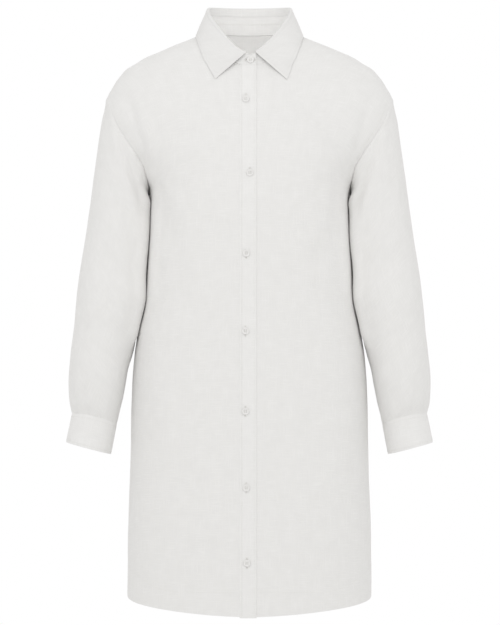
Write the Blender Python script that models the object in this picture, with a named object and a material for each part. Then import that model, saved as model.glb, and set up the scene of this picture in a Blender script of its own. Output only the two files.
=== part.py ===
"""A long linen shirt, filled out as if worn, made from the pieces that are cut and sewn.

Sizes are in millimetres and become metres when a mesh is made. The front faces -Y, +Z is up, and
the origin lies at the middle of the neck, level with the neck ends of the shoulder seams. Right
and left are the wearer's: the right sleeve is at -X.

The body is one smooth surface, read from a table of level sections. A place on it is given by its
height and its turn: 0 at the centre front, 1 at the left side, 2 at the centre back, and the same
numbers with a minus sign on the right. Every panel is a grid of such places, closed into a wall.
"""

import math

import bmesh
import bpy
import numpy as np
from mathutils import Vector

MM = 0.001

# Cloth
SINGLE = 1.1          # wall of one layer of linen
DOUBLE = 1.6          # wall of two layers: placket, stand, collar, cuffs
HEM_WALL = 2.0        # wall where the hem is turned up
SEAM = 0.3            # clear space between two sewn pieces
LAP = 0.35            # clear space under a piece that lies on another

# Body
NECK_HEIGHT = 8.5     # neck seam at the back and at the shoulders
NECK_WIDTH = 71.5     # half the neck's width there
SHOULDER_HEIGHT = -96.0
UNDERARM_HEIGHT = -245.0
YOKE_CENTRE = -88.0
YOKE_SIDE = -138.0
HEM_CENTRE = -917.0
HEM_SIDE = -890.0
HEM_BAND_CENTRE = -877.0
HEM_BAND_SIDE = -838.0
HEM_BAND_START = 0.45
VENT_GAP = 0.008      # how far a panel stands back from the side line beside the vent, as a turn
SIDE_LINE = 1.0 - 0.0007
SHOULDER_LINE = 0.955
BOW = 1.6             # how softly a row of cloth bends from the centre to the side
LEVEL_REACH = 60.0    # rows that end this far below the yoke, or further, come in level there
FOLD_FADE = 0.12      # folds end this much of a turn short of the side line
FRONT_COLUMNS = 12
BACK_COLUMNS = 22
NECK_STEP = 10.6       # angle between two points of the neck seam, in degrees
NECK_SHOULDER = 95.0   # angle of the shoulder seam, 0 at the centre back
RIGHT_NECK_STEPS = 7
LEFT_NECK_STEPS = 9

# Placket
PLACKET_LEFT = 11.0
PLACKET_RIGHT = -15.5
PLACKET_DROP = 1.5    # how far its foot hangs below the hem
PLACKET_TOP_GAP = 1.3 # its top edge below the neck seam

# Collar
STAND_RIGHT_END = -188.8
STAND_TOP_WIDTH = 65.0
STAND_TOP_BACK = 59.0
STAND_TOP_FRONT = 78.0
STAND_LIFT = DOUBLE + 0.6
LIFT_START = 156.0
LIFT_END = 168.0
STAND_HOLLOW = 1.2
LEAF_WALL = 1.3
LEAF_SEAM = 0.7
LEAF_RIGHT_END = -175.1
LEAF_LEFT_END = 171.9
ROLL_RADIUS = 3.0
ROLL_SHARE = 0.6
ROLL_ANGLES = (0, 60, 120, 180)
FALL_SHARES = (0.36, 0.7, 1.0)
FALL_BULGE = 2.5
LEAF_CLEARANCE = 2.9

# Sleeves and cuffs
SEAM_RAISE = 0.45     # how far the sleeve's edge stands out of the body at the armhole seam
SEAM_AWAY = 0.45      # and how far beside it
RESIDUAL_END = 4.0    # the ring from which the sleeve no longer follows the armhole's shape
CUFF_COLUMNS = 26
CUFF_START = 1.30     # where the cuff's lower end lies, as a turn round the sleeve
CUFF_OVERLAP = 0.17
CUFF_LIFT = DOUBLE + LAP
SLIT_COLUMNS = (14, 17)
SLIT_FIRST_ROW = 16

# Buttons
BUTTON_RADIUS = 5.75
BUTTON_THICKNESS = 2.2
BUTTON_RIM = 1.1
BUTTON_DISH = 0.5
BUTTON_SIDES = 16
BUTTON_SEAT = 0.3
STAND_BUTTON_TURN = -181.0
STAND_BUTTON_SHARE = 0.5


class Table:
    """Rows of sizes, read between the rows on smooth curves that never pass beyond them."""

    def __init__(self, columns, rows):
        data = np.array(sorted(rows), dtype=float)
        self.key = data[:, 0]
        self.columns = dict(zip(columns[1:], data[:, 1:].T))
        self.slopes = {name: soft_slopes(self.key, sizes) for name, sizes in self.columns.items()}

    def read(self, name, key):
        key = np.clip(key, self.key[0], self.key[-1])
        row = np.clip(np.searchsorted(self.key, key, side="right") - 1, 0, len(self.key) - 2)
        span = self.key[row + 1] - self.key[row]
        share = (key - self.key[row]) / span
        sizes = self.columns[name]
        slopes = self.slopes[name]
        low = (1 + 2 * share) * (1 - share) ** 2 * sizes[row]
        low += share * (1 - share) ** 2 * span * slopes[row]
        high = share ** 2 * (3 - 2 * share) * sizes[row + 1]
        high += share ** 2 * (share - 1) * span * slopes[row + 1]
        return low + high


def soft_slopes(key, sizes):
    """Slopes at the rows: level at a crest or a dip, and between its neighbours' elsewhere."""
    steps = np.diff(sizes) / np.diff(key)
    slopes = np.zeros(len(sizes))
    slopes[0] = steps[0]
    slopes[-1] = steps[-1]
    for row in range(1, len(steps)):
        before, after = steps[row - 1], steps[row]
        if before * after > 0:
            slopes[row] = 2 * before * after / (before + after)
    return slopes


# Level sections of the body, from the neck down
BODY = Table(
    ("height", "half_width", "front", "back", "squareness"),
    (
        (14.0, 66.0, 42.0, 62.0, 2.0),
        (8.5, 71.5, 50.0, 67.0, 2.0),
        (0.0, 89.0, 58.0, 75.0, 2.0),
        (-13.0, 122.0, 66.0, 84.0, 2.0),
        (-22.0, 143.0, 72.0, 90.0, 2.0),
        (-32.0, 166.0, 77.0, 95.0, 2.0),
        (-42.0, 182.0, 80.0, 99.0, 2.0),
        (-51.0, 197.0, 83.5, 102.0, 2.02),
        (-61.0, 206.0, 88.0, 105.0, 2.05),
        (-70.0, 213.0, 92.0, 108.0, 2.05),
        (-80.0, 219.0, 96.0, 111.0, 2.1),
        (-96.0, 228.0, 102.0, 115.0, 2.1),
        (-108.0, 232.0, 106.0, 117.0, 2.15),
        (-120.0, 234.0, 109.0, 119.0, 2.2),
        (-138.0, 232.0, 113.0, 121.0, 2.25),
        (-165.0, 219.0, 118.0, 123.0, 2.35),
        (-189.0, 200.0, 122.0, 124.0, 2.4),
        (-214.0, 177.0, 125.0, 123.5, 2.45),
        (-245.0, 161.0, 127.0, 122.0, 2.5),
        (-266.0, 160.0, 128.0, 120.0, 2.5),
        (-312.0, 161.0, 127.0, 116.0, 2.5),
        (-366.0, 164.0, 125.0, 111.0, 2.5),
        (-419.0, 167.5, 123.0, 108.0, 2.5),
        (-472.0, 178.5, 121.5, 108.0, 2.45),
        (-506.0, 183.5, 121.0, 109.0, 2.4),
        (-555.0, 187.5, 120.5, 111.0, 2.4),
        (-700.0, 191.0, 121.0, 115.0, 2.35),
        (-800.0, 194.5, 122.0, 117.0, 2.35),
        (-930.0, 195.0, 122.5, 118.0, 2.35),
    ),
)

# The neck seam at the front: its height at each distance from the centre line
NECK = Table(
    ("from_centre", "height"),
    ((0, -48.4), (14, -47.0), (28, -42.0), (43, -31.0), (57, -14.5), (66, -2.0), (71.1, 8.5)),
)

# The armhole seam: how far it lies from the centre line, before and behind
ARMHOLE = Table(
    ("height", "front", "back"),
    (
        (-96, 228.0, 228.0),
        (-101, 226.3, 227.0),
        (-108, 224.0, 225.5),
        (-120, 220.0, 222.0),
        (-138, 212.0, 215.5),
        (-165, 196.0, 202.0),
        (-189, 180.0, 187.0),
        (-214, 167.0, 170.5),
        (-232, 162.3, 163.5),
        (-245, 161.0, 161.0),
    ),
)
ARMHOLE_HEIGHTS = (-238, -224, -204, -184, -166, -151, YOKE_SIDE, -125, -113, -103, SHOULDER_HEIGHT)
YOKE_ARMHOLE_ROWS = 3

# Rows of cloth from above the hem band to the underarm: heights at the centre and at the side
PANEL_ROWS = (
    {"centre": -845, "side": -812},
    {"centre": -800, "side": -785},
    {"centre": -750, "side": -742},
    {"centre": -700, "side": -697},
    {"centre": -650, "side": -649},
    {"centre": -600, "side": -600},
    {"centre": -550, "side": -550},
    {"centre": -505, "side": -506},
    {"centre": -460, "side": -462},
    {"centre": -418, "side": -424},
    {"centre": -376, "side": -388},
    {"centre": -338, "side": -350},
    {"centre": -306, "side": -316},
    {"centre": -279, "side": -285},
    {"centre": -257, "side": -262},
    {"centre": -236, "side": UNDERARM_HEIGHT},
)
# Rows of the back above those, up to the yoke
BACK_TOP_ROWS = (
    {"centre": -215, "side": -238},
    {"centre": -195, "side": -224},
    {"centre": -175, "side": -204},
    {"centre": -154, "side": -184},
    {"centre": -133, "side": -166},
    {"centre": -111, "side": -151},
)

# Folds in the body: ridges (+) and troughs (-) from one place to another, seen from the front
BODY_FOLDS = (
    {"back": False, "from": (-193, -104), "to": (-170, -196), "width": 13, "height": -4.0},
    {"back": False, "from": (192, -108), "to": (169, -204), "width": 14, "height": -3.4},
    {"back": False, "from": (-152, -246), "to": (-118, -330), "width": 16, "height": -2.4},
    {"back": False, "from": (150, -262), "to": (112, -352), "width": 17, "height": -2.0},
    {"back": False, "from": (-150, -470), "to": (-132, -640), "width": 22, "height": 1.8},
    {"back": False, "from": (154, -520), "to": (136, -700), "width": 24, "height": 1.5},
    {"back": True, "from": (-180, -130), "to": (-146, -196), "width": 14, "height": -4.0},
    {"back": True, "from": (180, -124), "to": (148, -190), "width": 14, "height": -3.6},
    {"back": True, "from": (-140, -262), "to": (-92, -352), "width": 18, "height": -3.0},
    {"back": True, "from": (138, -270), "to": (96, -372), "width": 17, "height": -2.6},
    {"back": True, "from": (-62, -380), "to": (-80, -660), "width": 26, "height": 2.6},
    {"back": True, "from": (54, -420), "to": (66, -720), "width": 24, "height": 2.2},
)

# The sleeve's outer and inner outline seen from the front
OUTER_LINE = Table(
    ("height", "out"),
    (
        (-96, 228.0), (-118, 233.0), (-138, 237.6), (-171, 242.4), (-219, 248.8), (-267, 255.2),
        (-315, 261.6), (-363, 269.0), (-411, 275.6), (-459, 280.0), (-507, 285.2), (-555, 288.6),
        (-579, 287.4), (-600, 283.0),
    ),
)
INNER_LINE = Table(
    ("height", "out"),
    (
        (-245, 163.0), (-266, 163.3), (-312, 164.0), (-366, 167.0), (-419, 170.6), (-472, 181.4),
        (-506, 187.2), (-531, 194.0), (-555, 198.0), (-579, 202.6), (-603, 208.6), (-617, 211.7),
    ),
)
# Rings of the sleeve from the armhole to the cuff
SLEEVE = Table(
    ("ring", "outer", "inner", "front", "back", "middle", "squareness"),
    (
        (0, -96, -245, 62, 66, 0, 2.1),
        (1, -110, -261, 63, 67, 0, 2.1),
        (2, -128, -281, 65, 68, 0, 2.1),
        (3, -155, -306, 67, 69, -1, 2.15),
        (4, -190, -337, 68, 69, -2, 2.2),
        (5, -232, -368, 68, 68, -4, 2.2),
        (6, -278, -400, 67, 66, -6, 2.2),
        (7, -325, -433, 65, 64, -9, 2.2),
        (8, -372, -466, 63, 62, -12, 2.15),
        (9, -420, -499, 60, 59, -15, 2.1),
        (10, -465, -530, 57, 56, -18, 2.1),
        (11, -507, -558, 54, 53, -20, 2.1),
        (12, -545, -583, 50, 50, -21, 2.05),
        (13, -578, -605, 44, 45, -22, 2.0),
        (14, -600, -617, 37, 38, -22, 2.0),
    ),
)
SLEEVE_ROWS = (0, 0.35, 0.75, 1.3, 2, 2.7, 3.4, 4.1, 4.8, 5.5, 6.2, 6.9, 7.6, 8.4, 9.2, 10, 10.8, 11.5,
               12.1, 12.6, 13.05, 13.5, 13.8, 14)

# Folds in the sleeves: a place is a turn round the sleeve (0 outside, 0.5 before) and a ring
SLEEVE_FOLDS = (
    {"from": (0.34, 1.6), "to": (0.74, 3.4), "width": 0.075, "height": 3.0},
    {"from": (0.40, 6.9), "to": (0.80, 5.4), "width": 0.09, "height": -2.6},
    {"from": (0.30, 8.6), "to": (0.72, 7.7), "width": 0.08, "height": 1.8},
    {"from": (1.30, 2.4), "to": (1.62, 4.2), "width": 0.09, "height": -3.0},
    {"from": (1.28, 6.2), "to": (1.66, 7.4), "width": 0.09, "height": 2.4},
    {"from": (1.20, 9.6), "to": (1.60, 8.8), "width": 0.08, "height": -2.0},
    {"from": (1.62, 12.5), "to": (1.60, 13.9), "width": 0.05, "height": -3.2},
    {"from": (1.78, 12.2), "to": (1.76, 13.9), "width": 0.05, "height": -2.8},
)
RING_SCALE = 0.1      # one ring counts as much as this turn where a fold's width is measured

# The cuff's corners seen from the front, and its depth
CUFF = Table(
    ("down", "outer_x", "outer_z", "inner_x", "inner_z", "front", "back", "middle"),
    (
        (0, 283.2, -600.6, 211.6, -617.8, 37, 38, -22),
        (1, 292.6, -645.4, 220.4, -664.6, 38, 39, -23),
    ),
)
CUFF_ROWS = (0, 0.5, 1)
CUFF_BUTTON_DOWN = 0.5

# The collar's roll, by the angle round the neck: 0 at the centre back, 180 at the centre front
ROLL = Table(
    ("angle", "height", "rise"),
    (
        (0, 52.0, 14.0),
        (45, 51.5, 14.0),
        (75, 50.0, 13.0),
        (90, 45.5, 12.0),
        (110, 33.0, 10.0),
        (127, 18.5, 8.0),
        (140, 5.5, 6.0),
        (154, -10.0, 5.0),
        (171, -25.0, 4.5),
        (180, -27.5, 4.5),
    ),
)
# The leaf's outer edge seen from the front, by the same angle
LEAF_EDGE = Table(
    ("angle", "out", "height"),
    (
        (0, 0.0, -13.0),
        (30, 46.0, -12.5),
        (60, 75.0, -8.0),
        (80, 85.0, -1.0),
        (92, 88.0, 0.4),
        (104, 86.0, -4.5),
        (120, 82.0, -14.0),
        (140, 74.0, -34.0),
        (160, 63.5, -54.0),
        (175, 53.8, -71.0),
    ),
)

# Front buttons, from the top down
FRONT_BUTTONS = (
    {"x": -5.8, "height": -104},
    {"x": 0.6, "height": -220},
    {"x": -5.0, "height": -346},
    {"x": -6.4, "height": -468},
    {"x": -6.4, "height": -594},
    {"x": -5.0, "height": -714},
    {"x": -3.9, "height": -832},
)

LINEN = (0.80, 0.79, 0.765)
SHELL = (0.74, 0.73, 0.70)

QUARTER = np.linspace(0, math.pi / 2, 65)
HALF = np.linspace(0, math.pi, 97)


def ramp(share):
    """A soft step from 0 to 1."""
    share = np.clip(share, 0, 1)
    return share * share * (3 - 2 * share)


def unit(vectors):
    return vectors / np.linalg.norm(vectors, axis=-1, keepdims=True)


def read_rows(wanted, known, sizes):
    """In each row, the sizes at the place where the rising known numbers reach the wanted one."""
    before = np.clip((known < wanted[:, None]).sum(axis=1) - 1, 0, known.shape[1] - 2)
    row = np.arange(len(wanted))
    low = known[row, before]
    high = known[row, before + 1]
    share = np.clip((wanted - low) / (high - low), 0, 1)
    return [size[row, before] * (1 - share) + size[row, before + 1] * share for size in sizes]


def quarter_section(width, depth, squareness):
    """Points of a rounded quarter, from its centre line to its side, and the share of its length."""
    power = (2 / squareness)[:, None]
    x = width[:, None] * np.sin(QUARTER) ** power
    y = depth[:, None] * np.clip(np.cos(QUARTER), 0, 1) ** power
    steps = np.hypot(np.diff(x), np.diff(y))
    run = np.concatenate((np.zeros((len(steps), 1)), np.cumsum(steps, axis=1)), axis=1)
    return x, y, run / run[:, -1:]


def fold_height(x, z, back):
    """How far the folds move the body's cloth out at a place seen from the front."""
    height = np.zeros_like(x)
    for fold in BODY_FOLDS:
        start = np.array(fold["from"], dtype=float)
        way = np.array(fold["to"], dtype=float) - start
        share = np.clip(((x - start[0]) * way[0] + (z - start[1]) * way[1]) / (way @ way), 0, 1)
        apart = np.hypot(x - start[0] - share * way[0], z - start[1] - share * way[1])
        bump = fold["height"] * np.exp(-(apart / fold["width"]) ** 2)
        height += np.where(back == fold["back"], bump, 0)
    return height


def body_surface(turn, height):
    """Points and outward directions of the body's cloth."""
    turn, height = np.broadcast_arrays(np.asarray(turn, float), np.asarray(height, float))
    shape = turn.shape
    turn, z = turn.ravel(), height.ravel()
    back = np.abs(turn) > 1
    share = np.where(back, 2 - np.abs(turn), np.abs(turn))
    side = np.where(turn < 0, -1.0, 1.0)
    facing = np.where(back, 1.0, -1.0)

    def section(at):
        depth = np.where(back, BODY.read("back", at), BODY.read("front", at))
        return BODY.read("half_width", at), depth, BODY.read("squareness", at)

    width, depth, squareness = section(z)
    xs, ys, run = quarter_section(width, depth, squareness)
    x, y = read_rows(share, run, (xs, ys))

    def outside(at):
        wide, deep, square = section(at)
        return (x / wide) ** square + (y / deep) ** square

    step = 0.5
    slope_x = squareness * x ** (squareness - 1) / width ** squareness
    slope_y = squareness * y ** (squareness - 1) / depth ** squareness
    slope_z = (outside(z + step) - outside(z - step)) / (2 * step)
    normal = unit(np.stack((side * slope_x, facing * slope_y, slope_z), axis=-1))
    points = np.stack((side * x, facing * y, z), axis=-1)
    folds = fold_height(side * x, z, back) * ramp((1 - share) / FOLD_FADE)
    points += normal * folds[:, None]
    return points.reshape(shape + (3,)), normal.reshape(shape + (3,))


def turn_at(x, height, back=False):
    """The turn at which the body's cloth lies x from the centre line."""
    x, z = np.broadcast_arrays(np.atleast_1d(np.asarray(x, float)), np.asarray(height, float))
    depth = BODY.read("back" if back else "front", z)
    xs, _, run = quarter_section(BODY.read("half_width", z), depth, BODY.read("squareness", z))
    share = read_rows(np.abs(x), xs, (run,))[0]
    turn = 2 - share if back else share
    return np.where(x < 0, -turn, turn)


def body_depth(x, height, back):
    """How far before or behind the middle the body's cloth lies, without its folds."""
    width = BODY.read("half_width", height)
    depth = BODY.read("back" if back else "front", height)
    squareness = BODY.read("squareness", height)
    return depth * np.clip(1 - (np.abs(x) / width) ** squareness, 0, 1) ** (1 / squareness)


def cloth_wall(name, outer, normal, wall, tube=False, colour=LINEN):
    """Closes a grid of outer points into a wall of cloth, by the same points moved in."""
    rows, columns = outer.shape[:2]
    inner = outer - normal * np.broadcast_to(wall, (rows, columns))[..., None]
    mesh = bmesh.new()
    face_side = [[mesh.verts.new(point * MM) for point in row] for row in outer]
    body_side = [[mesh.verts.new(point * MM) for point in row] for row in inner]

    def quad(a, b, c, d):
        mesh.faces.new((a, b, c, d))

    for row in range(rows - 1):
        for column in range(columns if tube else columns - 1):
            after = (column + 1) % columns
            for sheet in (face_side, body_side):
                quad(sheet[row][column], sheet[row][after],
                     sheet[row + 1][after], sheet[row + 1][column])
    for row in (0, rows - 1):
        for column in range(columns if tube else columns - 1):
            after = (column + 1) % columns
            quad(face_side[row][column], face_side[row][after],
                 body_side[row][after], body_side[row][column])
    if not tube:
        for column in (0, columns - 1):
            for row in range(rows - 1):
                quad(face_side[row][column], face_side[row + 1][column],
                     body_side[row + 1][column], body_side[row][column])
    bmesh.ops.recalc_face_normals(mesh, faces=mesh.faces)
    return finish(name, mesh, colour)


def finish(name, mesh, colour):
    """Turns a bmesh into a named object with a material of its own."""
    data = bpy.data.meshes.new(name)
    mesh.to_mesh(data)
    mesh.free()
    data.shade_smooth()
    data.set_sharp_from_angle(angle=math.radians(50))
    material = bpy.data.materials.new(name)
    material.use_nodes = True
    shader = material.node_tree.nodes["Principled BSDF"]
    shader.inputs["Base Color"].default_value = (*colour, 1)
    shader.inputs["Roughness"].default_value = 0.9 if colour == LINEN else 0.3
    data.materials.append(material)
    piece = bpy.data.objects.new(name, data)
    bpy.context.collection.objects.link(piece)
    return piece


def hem_height(share):
    return HEM_CENTRE + (HEM_SIDE - HEM_CENTRE) * share ** BOW


def band_height(share):
    rise = ramp((share - HEM_BAND_START) / (1 - HEM_BAND_START))
    return HEM_BAND_CENTRE + (HEM_BAND_SIDE - HEM_BAND_CENTRE) * rise


def hem_rows(share):
    """The hem, the top of its turned-up band, and the single cloth just above it."""
    return [hem_height(share), band_height(share), band_height(share) + 2]


def bowed(centre, side, share):
    """Heights along a row of cloth, which comes level to the armhole near the underarm."""
    level = 0.0
    if side >= UNDERARM_HEIGHT:
        level = min(1.0, (YOKE_SIDE - side) / LEVEL_REACH) if side < YOKE_SIDE else 0.0
    return centre + (side - centre) * ((1 - level) * share ** BOW + level * ramp(share))


def side_turn(height):
    """The side line, which stands back beside the vent."""
    return SIDE_LINE - np.where(height < HEM_BAND_SIDE + 1, VENT_GAP, 0)


def hem_walls(rows, columns):
    """Walls of a panel: thicker where the hem is turned up."""
    wall = np.full((rows, columns), SINGLE)
    wall[:2] = HEM_WALL
    return wall


def neck_height(x):
    return float(NECK.read("height", abs(x)))


def front_reach(height):
    """The turn at which a row of a front ends: the side seam, the armhole or the shoulder."""
    if height <= UNDERARM_HEIGHT:
        return SIDE_LINE
    if height == SHOULDER_HEIGHT:
        return SHOULDER_LINE - 0.001
    return turn_at(ARMHOLE.read("front", height), height)[0]


def edge_rows(neck_steps):
    """Heights up a front's centre edge between the underarm's row and the neck seam."""
    count = len(ARMHOLE_HEIGHTS) - neck_steps - 1
    corner = NECK_WIDTH * math.sin(math.radians(NECK_SHOULDER + NECK_STEP * neck_steps))
    return np.linspace(PANEL_ROWS[-1]["centre"], neck_height(corner), count + 2)[1:-1]


def front_panel(name, side, neck_steps):
    """A front, from its centre edge to the side seam, the armhole and the shoulder seam."""
    across = np.linspace(0, 1, FRONT_COLUMNS + 1)
    neck = NECK_SHOULDER + NECK_STEP * np.arange(neck_steps, -1, -1)
    neck_x = NECK_WIDTH * np.sin(np.radians(neck))
    edge = neck_x[0] - side * SEAM / 2
    turns, heights = [], []
    start = turn_at(edge, HEM_CENTRE)[0]
    for height in hem_rows(np.abs(start + (1 - start) * across)):
        turns.append(start + (side_turn(height) - start) * across)
        heights.append(height)
    up = edge_rows(neck_steps)
    rows = [(row["centre"], row["side"]) for row in PANEL_ROWS]
    rows += list(zip(up, ARMHOLE_HEIGHTS))
    for centre, low in rows:
        start = turn_at(edge, centre)[0]
        turns.append(start + (front_reach(low) - start) * across)
        heights.append(bowed(centre, low, across))
    neck_x[0] = edge
    for x, low in zip(neck_x, ARMHOLE_HEIGHTS[len(up):]):
        top = low == SHOULDER_HEIGHT
        start = front_reach(low) if top else turn_at(x, neck_height(x))[0]
        turns.append(start + (front_reach(low) - start) * across)
        heights.append(bowed(NECK_HEIGHT if top else neck_height(x), low, across))
    outer, normal = body_surface(np.array(turns) * side, np.array(heights))
    return cloth_wall(name, outer, normal, hem_walls(*outer.shape[:2]))


def yoke_seam(share):
    return bowed(YOKE_CENTRE, YOKE_SIDE, np.abs(share))


def back_panel():
    """The back, from one side seam to the other, up to the yoke."""
    across = np.linspace(-1, 1, BACK_COLUMNS + 1)
    share = np.abs(across)
    ways, heights = [], []
    for height in hem_rows(share):
        ways.append(across * side_turn(height))
        heights.append(height)
    for row in PANEL_ROWS + BACK_TOP_ROWS:
        ways.append(across * back_reach(row["side"]))
        heights.append(bowed(row["centre"], row["side"], share))
    ways.append(across * back_reach(YOKE_SIDE))
    heights.append(yoke_seam(share) - SEAM / 2)
    outer, normal = body_surface(back_turn(np.array(ways)), np.array(heights))
    return cloth_wall("back", outer, normal, hem_walls(*outer.shape[:2]))


def back_reach(height):
    """How far from the centre back a row ends, at the side seam or the armhole."""
    if height <= UNDERARM_HEIGHT:
        return SIDE_LINE
    return 2 - turn_at(ARMHOLE.read("back", height), height, back=True)[0]


def back_turn(way):
    """The turn at a way from the centre back: -1 at the right side, 1 at the left side."""
    return np.where(way < 0, -2 - way, 2 - way)


def yoke():
    """The yoke: from the seam across the back to the neck and over the shoulders."""
    shoulder = np.linspace(0, 1, FRONT_COLUMNS + 1)
    angle = np.arange(-NECK_SHOULDER + NECK_STEP, NECK_SHOULDER - 1, NECK_STEP)
    neck = angle / NECK_SHOULDER
    neck_x = NECK_WIDTH * np.sin(np.radians(angle))
    neck_way = np.sign(angle) * (2 - np.abs(turn_at(neck_x, NECK_HEIGHT, back=True)))
    shoulder_way = 2 - SHOULDER_LINE - 0.001
    top_way = np.concatenate((np.full(len(shoulder), -shoulder_way), neck_way,
                              np.full(len(shoulder), shoulder_way)))
    slope = bowed(NECK_HEIGHT, SHOULDER_HEIGHT, shoulder)
    top_height = np.concatenate((slope[::-1], np.full(len(neck), NECK_HEIGHT), slope))
    across = np.concatenate((-0.4 - 0.6 * shoulder[::-1], neck * 0.4, 0.4 + 0.6 * shoulder))
    edge_heights = ARMHOLE_HEIGHTS[-1 - YOKE_ARMHOLE_ROWS:-1]
    levels = [0]
    for height in edge_heights:
        levels.append((height - YOKE_SIDE) / (SHOULDER_HEIGHT - YOKE_SIDE))
    levels.append(1)
    low_way = across * back_reach(YOKE_SIDE)
    low_height = yoke_seam(across) + SEAM / 2
    ways, heights = [], []
    for level in levels:
        way = low_way + (top_way - low_way) * level
        height = low_height + (top_height - low_height) * level
        if 0 < level < 1:
            way = fit_ends(way, back_reach(height[0]))
        ways.append(way)
        heights.append(height)
    outer, normal = body_surface(back_turn(np.array(ways)), np.array(heights))
    return cloth_wall("yoke", outer, normal, SINGLE)


def fit_ends(way, reach):
    """Stretches a row of the yoke so that it ends on the armhole."""
    share = np.abs(way) / np.abs(way[0])
    return way + np.sign(way) * (reach - np.abs(way[0])) * share ** 4


def placket():
    """The strip on the right front's edge, made from the front's points and moved out."""
    columns = (PLACKET_RIGHT, (PLACKET_RIGHT + PLACKET_LEFT) / 2, PLACKET_LEFT)
    heights = [row["centre"] for row in PANEL_ROWS]
    heights = [HEM_CENTRE - PLACKET_DROP, HEM_BAND_CENTRE, HEM_BAND_CENTRE + 2] + heights
    heights += list(edge_rows(RIGHT_NECK_STEPS))
    grid = [[height] * len(columns) for height in heights]
    grid.append([neck_height(x) - PLACKET_TOP_GAP for x in columns])
    grid = np.array(grid, dtype=float)
    turns = turn_at(np.tile(columns, len(grid)), grid.ravel()).reshape(grid.shape)
    outer, normal = body_surface(turns, grid)
    return cloth_wall("front_placket", outer + normal * (LAP + DOUBLE), normal, DOUBLE)


def neck_seam(angle):
    """The neck seam by the angle round the neck, 0 at the back and 180 at the front."""
    angle = np.asarray(angle, float)
    x = NECK_WIDTH * np.sin(np.radians(angle))
    front = np.abs(angle) > 90
    height = np.where(front, NECK.read("height", np.abs(x)), NECK_HEIGHT)
    ahead = body_depth(x, height, back=False)
    behind = body_depth(x, height, back=True)
    return np.stack((x, np.where(front, -ahead, behind), height), axis=-1)


def round_neck(angle, width, back, front):
    """Level directions round the neck: points of a plan oval, and straight out from it."""
    wide, deep = np.sin(np.radians(angle)), np.cos(np.radians(angle))
    depth = np.where(deep > 0, back, front)
    points = np.stack((width * wide, depth * deep, np.zeros_like(wide)), axis=-1)
    out = unit(np.stack((wide / width, deep / depth, np.zeros_like(wide)), axis=-1))
    return points, out


def turned_back(angle):
    """The angle as the tables know it, from 0 to 180."""
    angle = np.abs(angle)
    return np.where(angle > 180, 360 - angle, angle)


def stand_lift(angle):
    """How far the right end of the stand lies out, over the left one."""
    return STAND_LIFT * ramp((-angle - LIFT_START) / (LIFT_END - LIFT_START))


def stand_edges(angle):
    """The stand's lower and upper edge on its outer face, and the way out from the neck."""
    top, out = round_neck(angle, STAND_TOP_WIDTH, STAND_TOP_BACK, STAND_TOP_FRONT)
    known = turned_back(angle)
    top[:, 2] = ROLL.read("height", known) - ROLL.read("rise", known)
    low = neck_seam(angle)
    low[:, 2] += SEAM + 0.1
    lift = out * stand_lift(angle)[:, None]
    return low + lift, top + lift, out


def stand_angles():
    """Angles of the neck seam's points, from the right end to the left end of the stand."""
    left_end = NECK_SHOULDER + LEFT_NECK_STEPS * NECK_STEP
    angle = np.arange(-left_end, left_end + 1, NECK_STEP)
    angle[0] = STAND_RIGHT_END
    return angle


def collar_stand():
    angle = stand_angles()
    low, top, out = stand_edges(angle)
    middle = (low + top) / 2 - out * STAND_HOLLOW
    outer = np.array((low, middle, top))
    return cloth_wall("collar_stand", outer, np.array((out, out, out)), DOUBLE)


def leaf_edge(angle):
    """The leaf's outer edge, lying just clear of the body."""
    known = turned_back(angle)
    x = LEAF_EDGE.read("out", known) * np.where(angle < 0, -1, 1)
    height = LEAF_EDGE.read("height", known)
    turn = np.where(known > 90, turn_at(x, height), turn_at(x, height, back=True))
    points, normal = body_surface(turn, height)
    return points + normal * LEAF_CLEARANCE


def collar_leaf():
    """The leaf: up from the stand, over the roll, and down to its outer edge."""
    angle = stand_angles()
    angle = angle[(angle > LEAF_RIGHT_END) & (angle < LEAF_LEFT_END)]
    angle = np.concatenate(([LEAF_RIGHT_END], angle, [LEAF_LEFT_END]))
    known = turned_back(angle)
    _, top, out = stand_edges(angle)
    radius = np.minimum(ROLL_RADIUS, ROLL.read("rise", known) * ROLL_SHARE)[:, None]
    up = np.array((0.0, 0.0, 1.0))
    seam = top - out * DOUBLE + up * LEAF_SEAM
    crown = top - out * (DOUBLE - radius)
    crown[:, 2] = ROLL.read("height", known) - radius[:, 0]
    rows = [seam]
    normals = [-out]
    for degrees in ROLL_ANGLES:
        lean = math.radians(degrees)
        way = -out * math.cos(lean) + up * math.sin(lean)
        rows.append(crown + way * radius)
        normals.append(way)
    edge = leaf_edge(angle)
    start = rows[-1]
    for share in FALL_SHARES:
        bulge = FALL_BULGE * math.sin(math.pi * share)
        rows.append(start + (edge - start) * share + out * bulge)
    fall = len(FALL_SHARES)
    outer = np.array(rows)
    normal = grid_normals(outer)
    normal[:-fall] = np.array(normals)
    return cloth_wall("collar_leaf", outer, normal, LEAF_WALL)


def grid_normals(points, outward=1, tube=False):
    """Directions square to a grid of points."""
    down = np.gradient(points, axis=0)
    if tube:
        across = (np.roll(points, -1, axis=1) - np.roll(points, 1, axis=1)) / 2
    else:
        across = np.gradient(points, axis=1)
    return unit(np.cross(across, down)) * outward


def armhole_loop(side):
    """The armhole seam's points from the shoulder round the front, mirrored onto the right side."""
    heights = np.array(ARMHOLE_HEIGHTS[-2::-1] + (UNDERARM_HEIGHT,))
    front = turn_at(ARMHOLE.read("front", heights), heights)
    back = turn_at(ARMHOLE.read("back", heights), heights, back=True)
    turns = np.concatenate(([SHOULDER_LINE], front, back[-2::-1]))
    levels = np.concatenate(([SHOULDER_HEIGHT], heights, heights[-2::-1]))
    points, normal = body_surface(turns * side, levels)
    mirror = np.array((-side, 1, 1))
    return points * mirror, normal * mirror


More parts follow.
